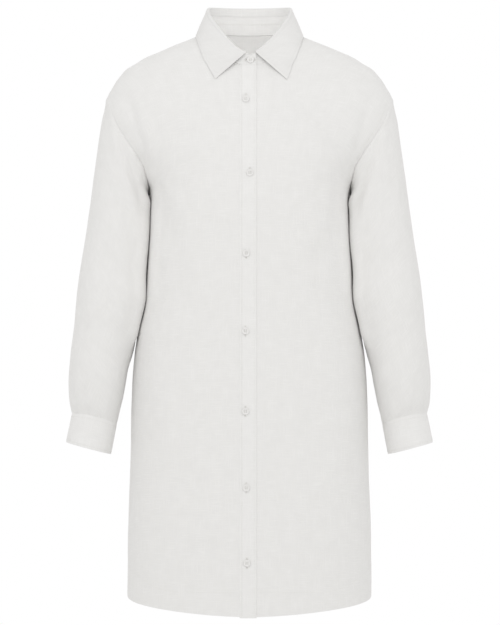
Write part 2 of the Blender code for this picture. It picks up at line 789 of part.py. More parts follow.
def ring_points(around, half, depth_front, depth_back, squareness):
    """A ring's points by the turn round it: outward and forward distances from its middle."""
    around = np.asarray(around, float)
    back = around > 1
    share = np.where(back, 2 - around, around)
    power = 2 / squareness
    depth = np.where(back, depth_back, depth_front)
    reach = half * np.sign(np.cos(HALF)) * np.abs(np.cos(HALF)) ** power
    reach = np.broadcast_to(reach, (len(around), len(HALF)))
    forward = depth[:, None] * np.abs(np.sin(HALF)) ** power
    steps = np.hypot(np.diff(reach), np.diff(forward))
    run = np.concatenate((np.zeros((len(steps), 1)), np.cumsum(steps, axis=1)), axis=1)
    out, ahead = read_rows(share, run / run[:, -1:], (reach, forward))
    return out, np.where(back, -ahead, ahead)


def sleeve_ring(around, ring):
    """One ring of the right sleeve, before it is fitted to the armhole."""
    outer_z = float(SLEEVE.read("outer", ring))
    inner_z = float(SLEEVE.read("inner", ring))
    middle = float(SLEEVE.read("middle", ring))
    outer = np.array((-float(OUTER_LINE.read("out", outer_z)), middle, outer_z))
    inner = np.array((-float(INNER_LINE.read("out", inner_z)), middle, inner_z))
    half = np.linalg.norm(outer - inner) / 2
    out, ahead = ring_points(around, half, float(SLEEVE.read("front", ring)),
                             float(SLEEVE.read("back", ring)),
                             float(SLEEVE.read("squareness", ring)))
    way = (outer - inner) / (2 * half)
    points = (outer + inner) / 2 + out[:, None] * way
    points[:, 1] -= ahead
    return points


def sleeve_fold(around, ring):
    """How far the folds move the sleeve's cloth out."""
    height = np.zeros_like(around)
    for fold in SLEEVE_FOLDS:
        start = np.array(fold["from"]) * (1, RING_SCALE)
        way = np.array(fold["to"]) * (1, RING_SCALE) - start
        beside = around - start[0]
        beyond = ring * RING_SCALE - start[1]
        share = np.clip((beside * way[0] + beyond * way[1]) / (way @ way), 0, 1)
        apart = np.hypot(beside - share * way[0], beyond - share * way[1])
        height += fold["height"] * np.exp(-(apart / fold["width"]) ** 2)
    return height


def sleeve_grid(side):
    """Outer points and directions of a sleeve, in rings from the armhole to the cuff."""
    loop, loop_normal = armhole_loop(side)
    count = len(loop)
    half = count // 2
    steps = np.linalg.norm(np.roll(loop, -1, axis=0) - loop, axis=1)
    front = np.cumsum(np.concatenate(([0], steps[:half])))
    back = np.cumsum(np.concatenate(([0], steps[half:])))
    around = np.concatenate((front / front[-1], 1 + back[1:-1] / back[-1]))
    along = unit(np.roll(loop, -1, axis=0) - np.roll(loop, 1, axis=0))
    away = unit(np.cross(along, loop_normal))
    start = loop + loop_normal * SEAM_RAISE + away * SEAM_AWAY
    residual = start - sleeve_ring(around, 0)
    rows = []
    for ring in SLEEVE_ROWS:
        fade = max(0.0, 1 - ring / RESIDUAL_END) ** 2
        rows.append(sleeve_ring(around, ring) + residual * fade)
    points = np.array(rows)
    normal = grid_normals(points, outward=-1, tube=True)
    rings = np.array(SLEEVE_ROWS, dtype=float)[:, None]
    places = np.broadcast_arrays(around, rings)
    points = points + normal * sleeve_fold(*places)[..., None]
    normal = grid_normals(points, outward=-1, tube=True)
    mirror = np.array((-side, 1, 1))
    return points * mirror, normal * mirror


def sleeve(name, side):
    points, normal = sleeve_grid(side)
    return cloth_wall(name, points, normal, SINGLE, tube=True)


def sleeve_placket(name, side):
    """The strip beside the sleeve's opening, made from the sleeve's own points and moved out."""
    points, normal = sleeve_grid(side)
    rows = slice(SLIT_FIRST_ROW, len(SLEEVE_ROWS))
    columns = slice(*SLIT_COLUMNS)
    outer = points[rows, columns] + normal[rows, columns] * (LAP + SINGLE)
    return cloth_wall(name, outer, normal[rows, columns], SINGLE)


def cuff_grid(side, around, downs):
    """Outer points and directions of a cuff whose ends lap."""
    rows = []
    for down in downs:
        outer = np.array((-CUFF.read("outer_x", down), CUFF.read("middle", down),
                          CUFF.read("outer_z", down)))
        inner = np.array((-CUFF.read("inner_x", down), CUFF.read("middle", down),
                          CUFF.read("inner_z", down)))
        half = np.linalg.norm(outer - inner) / 2
        out, ahead = ring_points(around % 2, half, float(CUFF.read("front", down)),
                                 float(CUFF.read("back", down)), 2.1)
        points = (outer + inner) / 2 + out[:, None] * (outer - inner) / (2 * half)
        points[:, 1] -= ahead
        rows.append(points)
    points = np.array(rows)
    normal = grid_normals(points, outward=-1)
    lift = CUFF_LIFT * ramp((around - CUFF_START - 1.93) / 0.06)
    points = points + normal * lift[None, :, None]
    mirror = np.array((-side, 1, 1))
    return points * mirror, normal * mirror


def cuff(name, side):
    around = np.linspace(CUFF_START, CUFF_START + 2 + CUFF_OVERLAP, CUFF_COLUMNS + 1)
    points, normal = cuff_grid(side, around, CUFF_ROWS)
    return cloth_wall(name, points, normal, DOUBLE)


def button(name, seat, normal):
    """A small dished shell button with its back face on its seat."""
    mesh = bmesh.new()
    bmesh.ops.create_cone(mesh, cap_ends=True, segments=BUTTON_SIDES, radius1=BUTTON_RADIUS * MM,
                          radius2=BUTTON_RADIUS * MM, depth=BUTTON_THICKNESS * MM)
    face = max(mesh.faces, key=lambda one: one.calc_center_median().z)
    bmesh.ops.inset_region(mesh, faces=[face], thickness=BUTTON_RIM * MM, depth=-BUTTON_DISH * MM)
    piece = finish(name, mesh, SHELL)
    way = Vector(normal)
    piece.rotation_mode = "QUATERNION"
    piece.rotation_quaternion = way.to_track_quat("Z", "Y")
    centre = Vector(seat) + way * (BUTTON_SEAT + BUTTON_THICKNESS / 2)
    piece.location = centre * MM
    return piece


def front_button(number, row):
    turn = turn_at(row["x"], row["height"])[0]
    point, normal = body_surface(turn, row["height"])
    return button(f"front_button_{number}", point + normal * (LAP + DOUBLE), normal)


def stand_button():
    angle = np.array([STAND_BUTTON_TURN])
    low, top, out = stand_edges(angle)
    slope = unit(top[0] - low[0])
    normal = unit(out[0] - slope * (out[0] @ slope))
    return button("stand_button", low[0] + (top[0] - low[0]) * STAND_BUTTON_SHARE, normal)


def cuff_button(name, side):
    around = np.array([0.95, 1, 1.05]) * CUFF_OVERLAP / 2 + CUFF_START + 2
    points, normal = cuff_grid(side, around, (0, CUFF_BUTTON_DOWN, 1))
    return button(name, points[1, 1], normal[1, 1])


def clear_scene():
    for item in list(bpy.data.objects):
        bpy.data.objects.remove(item, do_unlink=True)


def build():
    clear_scene()
    front_panel("front_right", -1, RIGHT_NECK_STEPS)
    front_panel("front_left", 1, LEFT_NECK_STEPS)
    placket()
    back_panel()
    yoke()
    collar_stand()
    collar_leaf()
    for name, side in (("right", -1), ("left", 1)):
        sleeve(f"sleeve_{name}", side)
        sleeve_placket(f"sleeve_placket_{name}", side)
        cuff(f"cuff_{name}", side)
        cuff_button(f"cuff_button_{name}", side)
    stand_button()
    for number, row in enumerate(FRONT_BUTTONS, 1):
        front_button(number, row)


build()
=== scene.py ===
"""The looks of a long white linen shirt, filled out as if worn: its cloth, creases, sewing and buttons.

Sizes are in millimetres and become metres when a mesh is made. The front faces -Y, +Z is up, and
the origin lies at the middle of the neck. Right and left are the wearer's: the right is at -X.
A place on the body is given by its height and its turn: 0 at the centre front, 1 at the left side,
2 at the centre back, and the same numbers with a minus sign on the right.
"""

import math

import bmesh
import bpy
import numpy as np
from mathutils import Matrix, Vector, noise


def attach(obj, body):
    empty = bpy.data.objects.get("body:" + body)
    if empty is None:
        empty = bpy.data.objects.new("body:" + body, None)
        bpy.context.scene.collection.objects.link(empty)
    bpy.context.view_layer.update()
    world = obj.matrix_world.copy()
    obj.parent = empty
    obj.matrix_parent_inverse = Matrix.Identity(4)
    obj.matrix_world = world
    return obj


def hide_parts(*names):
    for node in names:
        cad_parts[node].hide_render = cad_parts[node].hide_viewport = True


MM = 0.001

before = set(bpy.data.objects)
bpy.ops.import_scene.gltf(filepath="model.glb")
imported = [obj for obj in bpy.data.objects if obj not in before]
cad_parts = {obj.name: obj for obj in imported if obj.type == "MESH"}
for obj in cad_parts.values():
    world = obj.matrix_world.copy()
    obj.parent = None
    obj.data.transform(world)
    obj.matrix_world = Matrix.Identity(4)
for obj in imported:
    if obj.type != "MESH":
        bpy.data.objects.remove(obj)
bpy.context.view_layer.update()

# Camera, light and floor


def make_camera():
    """Level with the middle of the shirt and far off, so that its sides look nearly parallel."""
    lens = bpy.data.cameras.new("camera")
    lens.sensor_fit = "VERTICAL"
    lens.sensor_height = 24
    lens.lens = 144
    camera = bpy.data.objects.new("camera", lens)
    camera.location = (0.0008, -6.0, -0.4392)
    camera.rotation_euler = (math.radians(90), 0, 0)
    bpy.context.collection.objects.link(camera)
    bpy.context.scene.camera = camera


def soft_light(name, place, aim, size, power):
    lamp = bpy.data.lights.new(name, "AREA")
    lamp.shape = "RECTANGLE"
    lamp.size, lamp.size_y = size
    lamp.energy = power
    light = bpy.data.objects.new(name, lamp)
    light.location = place
    light.visible_camera = False
    light.rotation_euler = (Vector(aim) - Vector(place)).to_track_quat("-Z", "Y").to_euler()
    bpy.context.collection.objects.link(light)


SIDE_LIGHTS = (       # between the sleeves and the body: x, y, z and height in metres
    (0.162, -0.085, -0.285, 0.10),
    (0.164, -0.085, -0.375, 0.08),
)
SIDE_POWER = 0.0009


def make_studio():
    floor = bmesh.new()
    bmesh.ops.create_circle(floor, cap_ends=True, segments=64, radius=3.0)
    bmesh.ops.translate(floor, verts=floor.verts, vec=(0, 0, -1.35))
    data = bpy.data.meshes.new("floor")
    floor.to_mesh(data)
    floor.free()
    paint = bpy.data.materials.new("pale floor")
    paint.use_nodes = True
    shader = paint.node_tree.nodes["Principled BSDF"]
    shader.inputs["Base Color"].default_value = (0.86, 0.86, 0.85, 1)
    shader.inputs["Roughness"].default_value = 0.95
    data.materials.append(paint)
    piece = bpy.data.objects.new("floor", data)
    bpy.context.collection.objects.link(piece)

    world = bpy.data.worlds.new("white studio")
    world.use_nodes = True
    nodes = world.node_tree.nodes
    links = world.node_tree.links
    nodes.clear()
    seen = nodes.new("ShaderNodeBackground")
    seen.inputs["Color"].default_value = (1, 1, 1, 1)
    fill = nodes.new("ShaderNodeBackground")
    fill.inputs["Color"].default_value = (1, 0.998, 0.994, 1)
    fill.inputs["Strength"].default_value = 0.865
    ray = nodes.new("ShaderNodeLightPath")
    choice = nodes.new("ShaderNodeMixShader")
    links.new(ray.outputs["Is Camera Ray"], choice.inputs["Fac"])
    links.new(fill.outputs["Background"], choice.inputs[1])
    links.new(seen.outputs["Background"], choice.inputs[2])
    output = nodes.new("ShaderNodeOutputWorld")
    links.new(choice.outputs["Shader"], output.inputs["Surface"])
    bpy.context.scene.world = world

    soft_light("front left", (-1.3, -2.6, 0.9), (0, 0, -0.3), (1.4, 1.6), 10)
    soft_light("front right", (1.5, -2.5, 0.7), (0, 0, -0.32), (1.4, 1.6), 7.5)
    soft_light("overhead", (0.1, -0.9, 2.2), (0, 0, -0.3), (2.0, 1.4), 1.3)
    soft_light("behind", (0.3, 3.4, 1.0), (0, 0, -0.4), (2.2, 2.2), 8)
    soft_light("inside the neck", (0, -0.07, -0.18), (0, 0.07, -0.01), (0.12, 0.05), 0.2)
    for side in (-1, 1):
        for x, y, z, height in SIDE_LIGHTS:
            soft_light("beside the body", (side * x, y, z), (side * x, y + 1, z),
                       (0.004, height), SIDE_POWER)

    bpy.context.scene.view_settings.view_transform = "Standard"
    bpy.context.scene.view_settings.look = "None"


make_camera()
make_studio()

# Sizes

SINGLE = 0.9          # one layer of linen as it shows at an edge
DOUBLE = 1.4          # two layers: placket, stand and cuffs
LEAF = 1.2            # the collar's leaf
HEM = 1.8             # the turned-up hem
SOLID_DOUBLE = 1.6    # the walls that the pieces are set out from
SOLID_SINGLE = 1.1
SEAM = 0.1            # what shows of a seam between two pieces
LAP = 0.35

NECK_HEIGHT = 8.5
NECK_WIDTH = 71.5
SHOULDER_HEIGHT = -96.0
UNDERARM_HEIGHT = -245.0
YOKE_CENTRE = -88.0
YOKE_SIDE = -138.0
YOKE_NECK_SHARE = 0.4   # how much of the yoke's lower seam lies under the neck
HEM_CENTRE = -917.0
HEM_SIDE = -890.0
HEM_BAND_CENTRE = -877.0
HEM_BAND_SIDE = -838.0
HEM_BAND_START = 0.45
VENT_GAP = 0.008
SIDE_LINE = 1.0 - 0.0002
SHOULDER_LINE = 0.955
SHOULDER_GAP = 0.0003
BOW = 1.6
LEVEL_REACH = 60.0
FOLD_FADE = 0.12
FRONT_COLUMNS = 12
BACK_COLUMNS = 22
NECK_STEP = 10.6
NECK_SHOULDER = 95.0
RIGHT_NECK_STEPS = 7
LEFT_NECK_STEPS = 9

PLACKET_LEFT = 11.0
PLACKET_RIGHT = -15.5
PLACKET_DROP = 1.5
PLACKET_TOP_GAP = 0.6
PLACKET_LIFT = 1.55   # its outer face, over the right front
PLACKET_GRAIN = 3.5
PLACKET_EDGES = {     # its wall thins and its face turns in within this width
    "right": {"thin": 1.1, "sink": 1.25, "width": 2.6},
    "left": {"thin": 0.8, "sink": 0.8, "width": 1.1},
}

STAND_RIGHT_END = -188.8
STAND_TOP_WIDTH = 65.0
STAND_TOP_BACK = 59.0
STAND_TOP_FRONT = 78.0
STAND_LIFT = SOLID_DOUBLE + 0.6
LIFT_START = 156.0
LIFT_END = 168.0
STAND_HOLLOW = 1.2
STAND_GROOVE = {"share": 0.58, "depth": 0.6, "width": 0.035}   # drawn in by the sewing
LEAF_SEAM = 0.05
LEAF_RIGHT_END = -175.1
LEAF_LEFT_END = 171.9
ROLL_RADIUS = 3.0
ROLL_SHARE = 0.6
FALL_BULGE = 0.6
LEAF_CLEARANCE = 2.1
COLLAR_STEP = 1.5     # degrees between the collar's points
ROLL_STEP = 15        # degrees between the rows over the roll
LEFT_TIP = {"out": 3.0, "down": 4.5}   # the left point hangs a little lower

SEAM_RAISE = 0.1
SEAM_RIDGE = {"height": 0.7, "from_edge": 4.0, "width": 3.2}   # over the allowance inside
ALLOWANCE = (         # the sleeve's seam allowance: back from its edge, and down under the other
    {"back": 3.0, "down": 1.4},
    {"back": 0.6, "down": 1.1},
    {"back": 0.12, "down": 0.3},
)
EDGE_SUPPORT = 0.1    # a row close to the edge keeps it crisp
SEAM_AWAY = 0.07
RESIDUAL_END = 4.0
LAST_RING = 14
LAST_RINGS_APART = 17.0
PARTS = 5             # steps of the sleeve's grid from one row or column to the next
CUFF_START = 1.30
CUFF_DEPTH = 47.0
CUFF_SQUARENESS = 2.1
CUFF_LAP_START = 1.93
CUFF_LAP_RISE = 0.06
CUFF_OVERLAP = 0.17
CUFF_REACH = 1.1
CUFF_LIFT = SOLID_DOUBLE + LAP
CUFF_BOW = {"height": 5.0, "reach": 24.0}   # the cuff's seam rises in the middle of the front
CUFF_UP = (0.195, 0.0, 0.981)
SLIT_COLUMNS = (14, 16)
SLIT_FIRST_ROW = 16

GRAIN = 5.0           # spacing of the cloth's points


class Table:
    """Rows of sizes, read between the rows on smooth curves that never pass beyond them."""

    def __init__(self, columns, rows):
        data = np.array(sorted(rows), dtype=float)
        self.key = data[:, 0]
        self.columns = dict(zip(columns[1:], data[:, 1:].T))
        self.slopes = {name: soft_slopes(self.key, sizes) for name, sizes in self.columns.items()}

    def read(self, name, key):
        key = np.clip(key, self.key[0], self.key[-1])
        row = np.clip(np.searchsorted(self.key, key, side="right") - 1, 0, len(self.key) - 2)
        span = self.key[row + 1] - self.key[row]
        share = (key - self.key[row]) / span
        return between(self.columns[name], self.slopes[name], row, share, span)


def soft_slopes(key, sizes):
    """Slopes at the rows: level at a crest or a dip, and between its neighbours' elsewhere."""
    gaps = np.diff(key).reshape((-1,) + (1,) * (sizes.ndim - 1))
    steps = np.diff(sizes, axis=0) / gaps
    slopes = np.zeros_like(sizes)
    slopes[0] = steps[0]
    slopes[-1] = steps[-1]
    before, after = steps[:-1], steps[1:]
    rising = before * after > 0
    whole = np.where(rising, before + after, 1)
    slopes[1:-1] = np.where(rising, 2 * before * after / whole, 0)
    return slopes


def between(sizes, slopes, row, share, span):
    """A smooth curve between each row and the next."""
    low = (1 + 2 * share) * (1 - share) ** 2 * sizes[row]
    low = low + share * (1 - share) ** 2 * span * slopes[row]
    high = share ** 2 * (3 - 2 * share) * sizes[row + 1]
    return low + high + share ** 2 * (share - 1) * span * slopes[row + 1]


def read_at(sizes, places):
    """Rows of sizes read at places between them, counted in rows."""
    key = np.arange(len(sizes), dtype=float)
    row = np.clip(np.floor(places).astype(int), 0, len(sizes) - 2)
    share = (places - row).reshape((-1,) + (1,) * (sizes.ndim - 1))
    return between(sizes, soft_slopes(key, sizes), row, share, 1.0)


BODY = Table(
    ("height", "half_width", "front", "back", "squareness"),
    (
        (14.0, 66.0, 42.0, 62.0, 2.0),
        (8.5, 71.5, 50.0, 67.0, 2.0),
        (0.0, 89.0, 58.0, 75.0, 2.0),
        (-13.0, 122.0, 66.0, 84.0, 2.0),
        (-22.0, 143.0, 72.0, 90.0, 2.0),
        (-32.0, 166.0, 77.0, 95.0, 2.0),
        (-42.0, 182.0, 80.0, 99.0, 2.0),
        (-51.0, 197.0, 83.5, 102.0, 2.02),
        (-61.0, 206.0, 88.0, 105.0, 2.05),
        (-70.0, 213.0, 92.0, 108.0, 2.05),
        (-80.0, 219.0, 96.0, 111.0, 2.1),
        (-96.0, 228.0, 102.0, 115.0, 2.1),
        (-108.0, 232.0, 106.0, 117.0, 2.15),
        (-120.0, 234.0, 109.0, 119.0, 2.2),
        (-138.0, 232.0, 113.0, 121.0, 2.25),
        (-165.0, 219.0, 118.0, 123.0, 2.35),
        (-189.0, 200.0, 122.0, 124.0, 2.4),
        (-214.0, 177.0, 125.0, 123.5, 2.45),
        (-245.0, 161.0, 127.0, 122.0, 2.5),
        (-266.0, 160.0, 128.0, 120.0, 2.5),
        (-312.0, 161.0, 127.0, 116.0, 2.5),
        (-366.0, 164.0, 125.0, 111.0, 2.5),
        (-419.0, 167.5, 123.0, 108.0, 2.5),
        (-472.0, 178.5, 121.5, 108.0, 2.45),
        (-506.0, 183.5, 121.0, 109.0, 2.4),
        (-555.0, 187.5, 120.5, 111.0, 2.4),
        (-700.0, 191.0, 121.0, 115.0, 2.35),
        (-800.0, 194.5, 122.0, 117.0, 2.35),
        (-930.0, 195.0, 122.5, 118.0, 2.35),
    ),
)
NECK = Table(
    ("from_centre", "height"),
    ((0, -48.4), (14, -47.0), (28, -42.0), (43, -31.0), (57, -14.5), (66, -2.0), (71.1, 8.5)),
)
ARMHOLE = Table(
    ("height", "front", "back"),
    (
        (-96, 228.0, 228.0),
        (-101, 226.3, 227.0),
        (-108, 224.0, 225.5),
        (-120, 220.0, 222.0),
        (-138, 212.0, 215.5),
        (-165, 196.0, 202.0),
        (-189, 180.0, 187.0),
        (-214, 167.0, 170.5),
        (-232, 162.3, 163.5),
        (-245, 161.0, 161.0),
    ),
)
ARMHOLE_HEIGHTS = (-238, -224, -204, -184, -166, -151, YOKE_SIDE, -125, -113, -103, SHOULDER_HEIGHT)
YOKE_ARMHOLE_ROWS = 3
PANEL_ROWS = (
    {"centre": -845, "side": -812},
    {"centre": -800, "side": -785},
    {"centre": -750, "side": -742},
    {"centre": -700, "side": -697},
    {"centre": -650, "side": -649},
    {"centre": -600, "side": -600},
    {"centre": -550, "side": -550},
    {"centre": -505, "side": -506},
    {"centre": -460, "side": -462},
    {"centre": -418, "side": -424},
    {"centre": -376, "side": -388},
    {"centre": -338, "side": -350},
    {"centre": -306, "side": -316},
    {"centre": -279, "side": -285},
    {"centre": -257, "side": -262},
    {"centre": -236, "side": UNDERARM_HEIGHT},
)
BACK_TOP_ROWS = (
    {"centre": -215, "side": -238},
    {"centre": -195, "side": -224},
    {"centre": -175, "side": -204},
    {"centre": -154, "side": -184},
    {"centre": -133, "side": -166},
    {"centre": -111, "side": -151},
)

# Large folds, then the smaller creases: ridges (+) and troughs (-) seen from the front
BODY_FOLDS = (
    {"back": False, "from": (-193, -104), "to": (-170, -196), "width": 13, "height": -2.2},
    {"back": False, "from": (192, -108), "to": (169, -204), "width": 14, "height": -2.0},
    {"back": False, "from": (-152, -246), "to": (-118, -330), "width": 16, "height": -2.4},
    {"back": False, "from": (150, -262), "to": (112, -352), "width": 17, "height": -2.0},
    {"back": False, "from": (-150, -470), "to": (-132, -640), "width": 22, "height": 1.8},
    {"back": False, "from": (154, -520), "to": (136, -700), "width": 24, "height": 1.5},
    {"back": True, "from": (-180, -130), "to": (-146, -196), "width": 14, "height": -4.0},
    {"back": True, "from": (180, -124), "to": (148, -190), "width": 14, "height": -3.6},
    {"back": True, "from": (-140, -262), "to": (-92, -352), "width": 18, "height": -3.0},
    {"back": True, "from": (138, -270), "to": (96, -372), "width": 17, "height": -2.6},
    {"back": True, "from": (-62, -380), "to": (-80, -660), "width": 26, "height": 2.6},
    {"back": True, "from": (54, -420), "to": (66, -720), "width": 24, "height": 2.2},
)
BODY_CREASES = (
    {"back": False, "from": (-188, -112), "to": (-170, -176), "width": 5, "height": -1.3},
    {"back": False, "from": (-169, -182), "to": (-165, -212), "width": 4, "height": -1.0},
    {"back": False, "from": (187, -118), "to": (170, -184), "width": 5.5, "height": -1.1},
    {"back": False, "from": (-176, -118), "to": (-158, -182), "width": 7, "height": 0.9},
    {"back": False, "from": (174, -122), "to": (155, -176), "width": 6, "height": 0.8},
    {"back": False, "from": (-138, -232), "to": (-96, -286), "width": 8, "height": 0.9},
    {"back": False, "from": (136, -226), "to": (88, -268), "width": 9, "height": -0.9},
    {"back": False, "from": (-120, -262), "to": (-70, -300), "width": 9, "height": -0.7},
    {"back": False, "from": (126, -300), "to": (70, -352), "width": 10, "height": 0.8},
    {"back": False, "from": (-60, -70), "to": (-92, -150), "width": 12, "height": -0.8},
    {"back": False, "from": (64, -78), "to": (88, -168), "width": 11, "height": -0.7},
    {"back": False, "from": (-112, -360), "to": (-96, -452), "width": 12, "height": -0.9},
    {"back": False, "from": (104, -390), "to": (92, -500), "width": 12, "height": -0.8},
    {"back": False, "from": (-58, -420), "to": (-64, -560), "width": 15, "height": 0.8},
    {"back": False, "from": (54, -468), "to": (66, -590), "width": 14, "height": 0.7},
    {"back": False, "from": (-104, -560), "to": (-112, -720), "width": 14, "height": -1.0},
    {"back": False, "from": (100, -600), "to": (110, -770), "width": 15, "height": -1.0},
    {"back": False, "from": (-70, -690), "to": (-80, -860), "width": 14, "height": 0.9},
    {"back": False, "from": (62, -722), "to": (74, -868), "width": 15, "height": 0.8},
    {"back": False, "from": (-146, -700), "to": (-152, -840), "width": 13, "height": -0.9},
    {"back": False, "from": (150, -740), "to": (156, -850), "width": 12, "height": -0.9},
    {"back": False, "from": (-34, -250), "to": (-44, -330), "width": 10, "height": -0.6},
    {"back": False, "from": (36, -300), "to": (30, -392), "width": 11, "height": 0.5},
    {"back": True, "from": (-150, -150), "to": (-118, -214), "width": 8, "height": 1.0},
    {"back": True, "from": (152, -148), "to": (114, -206), "width": 7, "height": 0.9},
    {"back": True, "from": (-118, -236), "to": (-64, -300), "width": 9, "height": 0.9},
    {"back": True, "from": (120, -244), "to": (70, -290), "width": 10, "height": -0.8},
    {"back": True, "from": (-24, -120), "to": (-34, -250), "width": 13, "height": 1.0},
    {"back": True, "from": (28, -126), "to": (36, -226), "width": 12, "height": 0.9},
    {"back": True, "from": (-104, -400), "to": (-122, -560), "width": 13, "height": -1.2},
    {"back": True, "from": (106, -430), "to": (120, -610), "width": 14, "height": -1.1},
    {"back": True, "from": (-8, -460), "to": (4, -640), "width": 16, "height": -1.0},
    {"back": True, "from": (-126, -650), "to": (-138, -830), "width": 15, "height": 1.1},
    {"back": True, "from": (122, -680), "to": (134, -850), "width": 14, "height": 1.0},
    {"back": True, "from": (-30, -700), "to": (-38, -860), "width": 15, "height": 0.9},
    {"back": True, "from": (30, -740), "to": (42, -880), "width": 14, "height": -0.9},
)
BODY_RUMPLES = (
    {"size": 62.0, "height": 0.6, "shift": 3.0},
    {"size": 24.0, "height": 0.2, "shift": 11.0},
)
SLEEVE_RUMPLES = (
    {"size": 48.0, "height": 0.7, "shift": 7.0},
    {"size": 20.0, "height": 0.24, "shift": 19.0},
)
RUMPLE_START = 88.0   # rumples begin this far from the middle of the neck
RUMPLE_FADE = 60.0

OUTER_LINE = Table(
    ("height", "out"),
    (
        (-96, 228.0), (-118, 233.0), (-138, 237.6), (-171, 242.4), (-219, 248.8), (-267, 255.2),
        (-315, 261.6), (-363, 269.0), (-411, 275.6), (-459, 280.0), (-507, 285.2), (-555, 288.6),
        (-579, 287.4), (-600, 283.0),
    ),
)
INNER_LINE = Table(
    ("height", "out"),
    (
        (-245, 163.0), (-266, 163.3), (-312, 164.0), (-366, 167.0), (-419, 170.6), (-472, 181.4),
        (-506, 187.2), (-531, 194.0), (-555, 198.0), (-579, 202.6), (-603, 208.6), (-617, 211.7),
    ),
)
SLEEVE = Table(
    ("ring", "outer", "inner", "front", "back", "middle", "squareness"),
    (
        (0, -96, -245, 62, 66, 0, 2.1),
        (1, -110, -261, 63, 67, 0, 2.1),
        (2, -128, -281, 65, 68, 0, 2.1),
        (3, -155, -306, 67, 69, -1, 2.15),
        (4, -190, -337, 68, 69, -2, 2.2),
        (5, -232, -368, 68, 68, -4, 2.2),
        (6, -278, -400, 67, 66, -6, 2.2),
        (7, -325, -433, 65, 64, -9, 2.2),
        (8, -372, -466, 63, 62, -12, 2.15),
        (9, -420, -499, 60, 59, -15, 2.1),
        (10, -465, -530, 57, 56, -18, 2.1),
        (11, -507, -558, 54, 53, -20, 2.1),
        (12, -545, -583, 50, 50, -21, 2.05),
        (13, -578, -605, 44, 45, -22, 2.0),
        (14, -600, -617, 37, 38, -22, 2.0),
    ),
)
SLEEVE_ROWS = (0, 0.35, 0.75, 1.3, 2, 2.7, 3.4, 4.1, 4.8, 5.5, 6.2, 6.9, 7.6, 8.4, 9.2, 10, 10.8, 11.5,
               12.1, 12.6, 13.05, 13.5, 13.8, 14)
SLEEVE_FOLDS = (
    {"from": (0.34, 1.6), "to": (0.74, 3.4), "width": 0.075, "height": 3.0},
    {"from": (0.40, 6.9), "to": (0.80, 5.4), "width": 0.09, "height": -2.6},
    {"from": (0.30, 8.6), "to": (0.72, 7.7), "width": 0.08, "height": 1.8},
    {"from": (1.30, 2.4), "to": (1.62, 4.2), "width": 0.09, "height": -3.0},
    {"from": (1.28, 6.2), "to": (1.66, 7.4), "width": 0.09, "height": 2.4},
    {"from": (1.20, 9.6), "to": (1.60, 8.8), "width": 0.08, "height": -2.0},
    {"from": (1.62, 12.5), "to": (1.60, 13.9), "width": 0.05, "height": -3.2},
    {"from": (1.78, 12.2), "to": (1.76, 13.9), "width": 0.05, "height": -2.8},
)
SLEEVE_CREASES = (
    {"from": (0.46, 1.2), "to": (0.80, 2.2), "width": 0.05, "height": -1.2},
    {"from": (0.30, 4.2), "to": (0.64, 4.9), "width": 0.06, "height": -1.3},
    {"from": (0.52, 6.0), "to": (0.86, 6.6), "width": 0.055, "height": 1.2},
    {"from": (0.36, 7.4), "to": (0.70, 7.0), "width": 0.05, "height": 1.1},
    {"from": (0.28, 9.8), "to": (0.62, 10.3), "width": 0.06, "height": -1.1},
    {"from": (0.54, 11.0), "to": (0.84, 10.6), "width": 0.05, "height": 1.0},
    {"from": (0.38, 12.3), "to": (0.42, 13.7), "width": 0.04, "height": -1.2},
    {"from": (0.62, 12.5), "to": (0.60, 13.8), "width": 0.035, "height": -1.0},
    {"from": (0.20, 12.4), "to": (0.22, 13.8), "width": 0.04, "height": -0.9},
    {"from": (1.16, 12.4), "to": (1.18, 13.8), "width": 0.04, "height": -1.1},
    {"from": (1.36, 4.6), "to": (1.70, 5.6), "width": 0.06, "height": 1.3},
    {"from": (1.22, 7.9), "to": (1.52, 7.2), "width": 0.06, "height": -1.2},
    {"from": (1.32, 10.6), "to": (1.64, 11.2), "width": 0.055, "height": 1.1},
    {"from": (1.84, 6.0), "to": (1.96, 8.0), "width": 0.06, "height": -1.0},
    {"from": (0.02, 3.0), "to": (0.10, 6.0), "width": 0.07, "height": -0.9},
)
SLEEVE_LEAN = (       # where the sleeve's cloth rests against the body
    {"from": (1.00, 1.3), "to": (1.00, 8.3), "width": 0.09, "height": 1.9},
    {"from": (1.13, 1.5), "to": (1.11, 5.8), "width": 0.06, "height": 4.4},
    {"from": (0.835, 1.8), "to": (0.85, 8.2), "width": 0.07, "height": 9.9},
)
RING_SCALE = 0.1

CUFF = Table(
    ("down", "outer_x", "outer_z", "inner_x", "inner_z", "front", "back", "middle"),
    (
        (0, 283.2, -600.6, 211.6, -617.8, 37, 38, -22),
        (1, 292.6, -645.4, 220.4, -664.6, 38, 39, -23),
    ),
)
ROLL = Table(
    ("angle", "height", "rise"),
    (
        (0, 52.0, 14.0),
        (45, 51.5, 14.0),
        (75, 50.0, 13.0),
        (90, 45.5, 12.0),
        (110, 33.0, 10.0),
        (127, 18.5, 8.0),
        (140, 5.5, 6.0),
        (154, -10.0, 5.0),
        (171, -25.0, 4.5),
        (180, -27.5, 4.5),
    ),
)
LEAF_EDGE = Table(
    ("angle", "out", "height"),
    (
        (0, 0.0, -13.0),
        (30, 46.0, -12.5),
        (60, 74.0, -9.0),
        (80, 83.0, -3.0),
        (92, 85.6, -1.6),
        (104, 84.2, -6.0),
        (120, 81.0, -15.0),
        (140, 74.0, -34.0),
        (160, 63.5, -54.0),
        (175, 53.8, -71.0),
    ),
)
FRONT_BUTTONS = (
    {"x": -5.8, "height": -104},
    {"x": 0.6, "height": -220},
    {"x": -5.0, "height": -346},
    {"x": -6.4, "height": -468},
    {"x": -6.4, "height": -594},
    {"x": -5.0, "height": -714},
    {"x": -3.9, "height": -832},
)

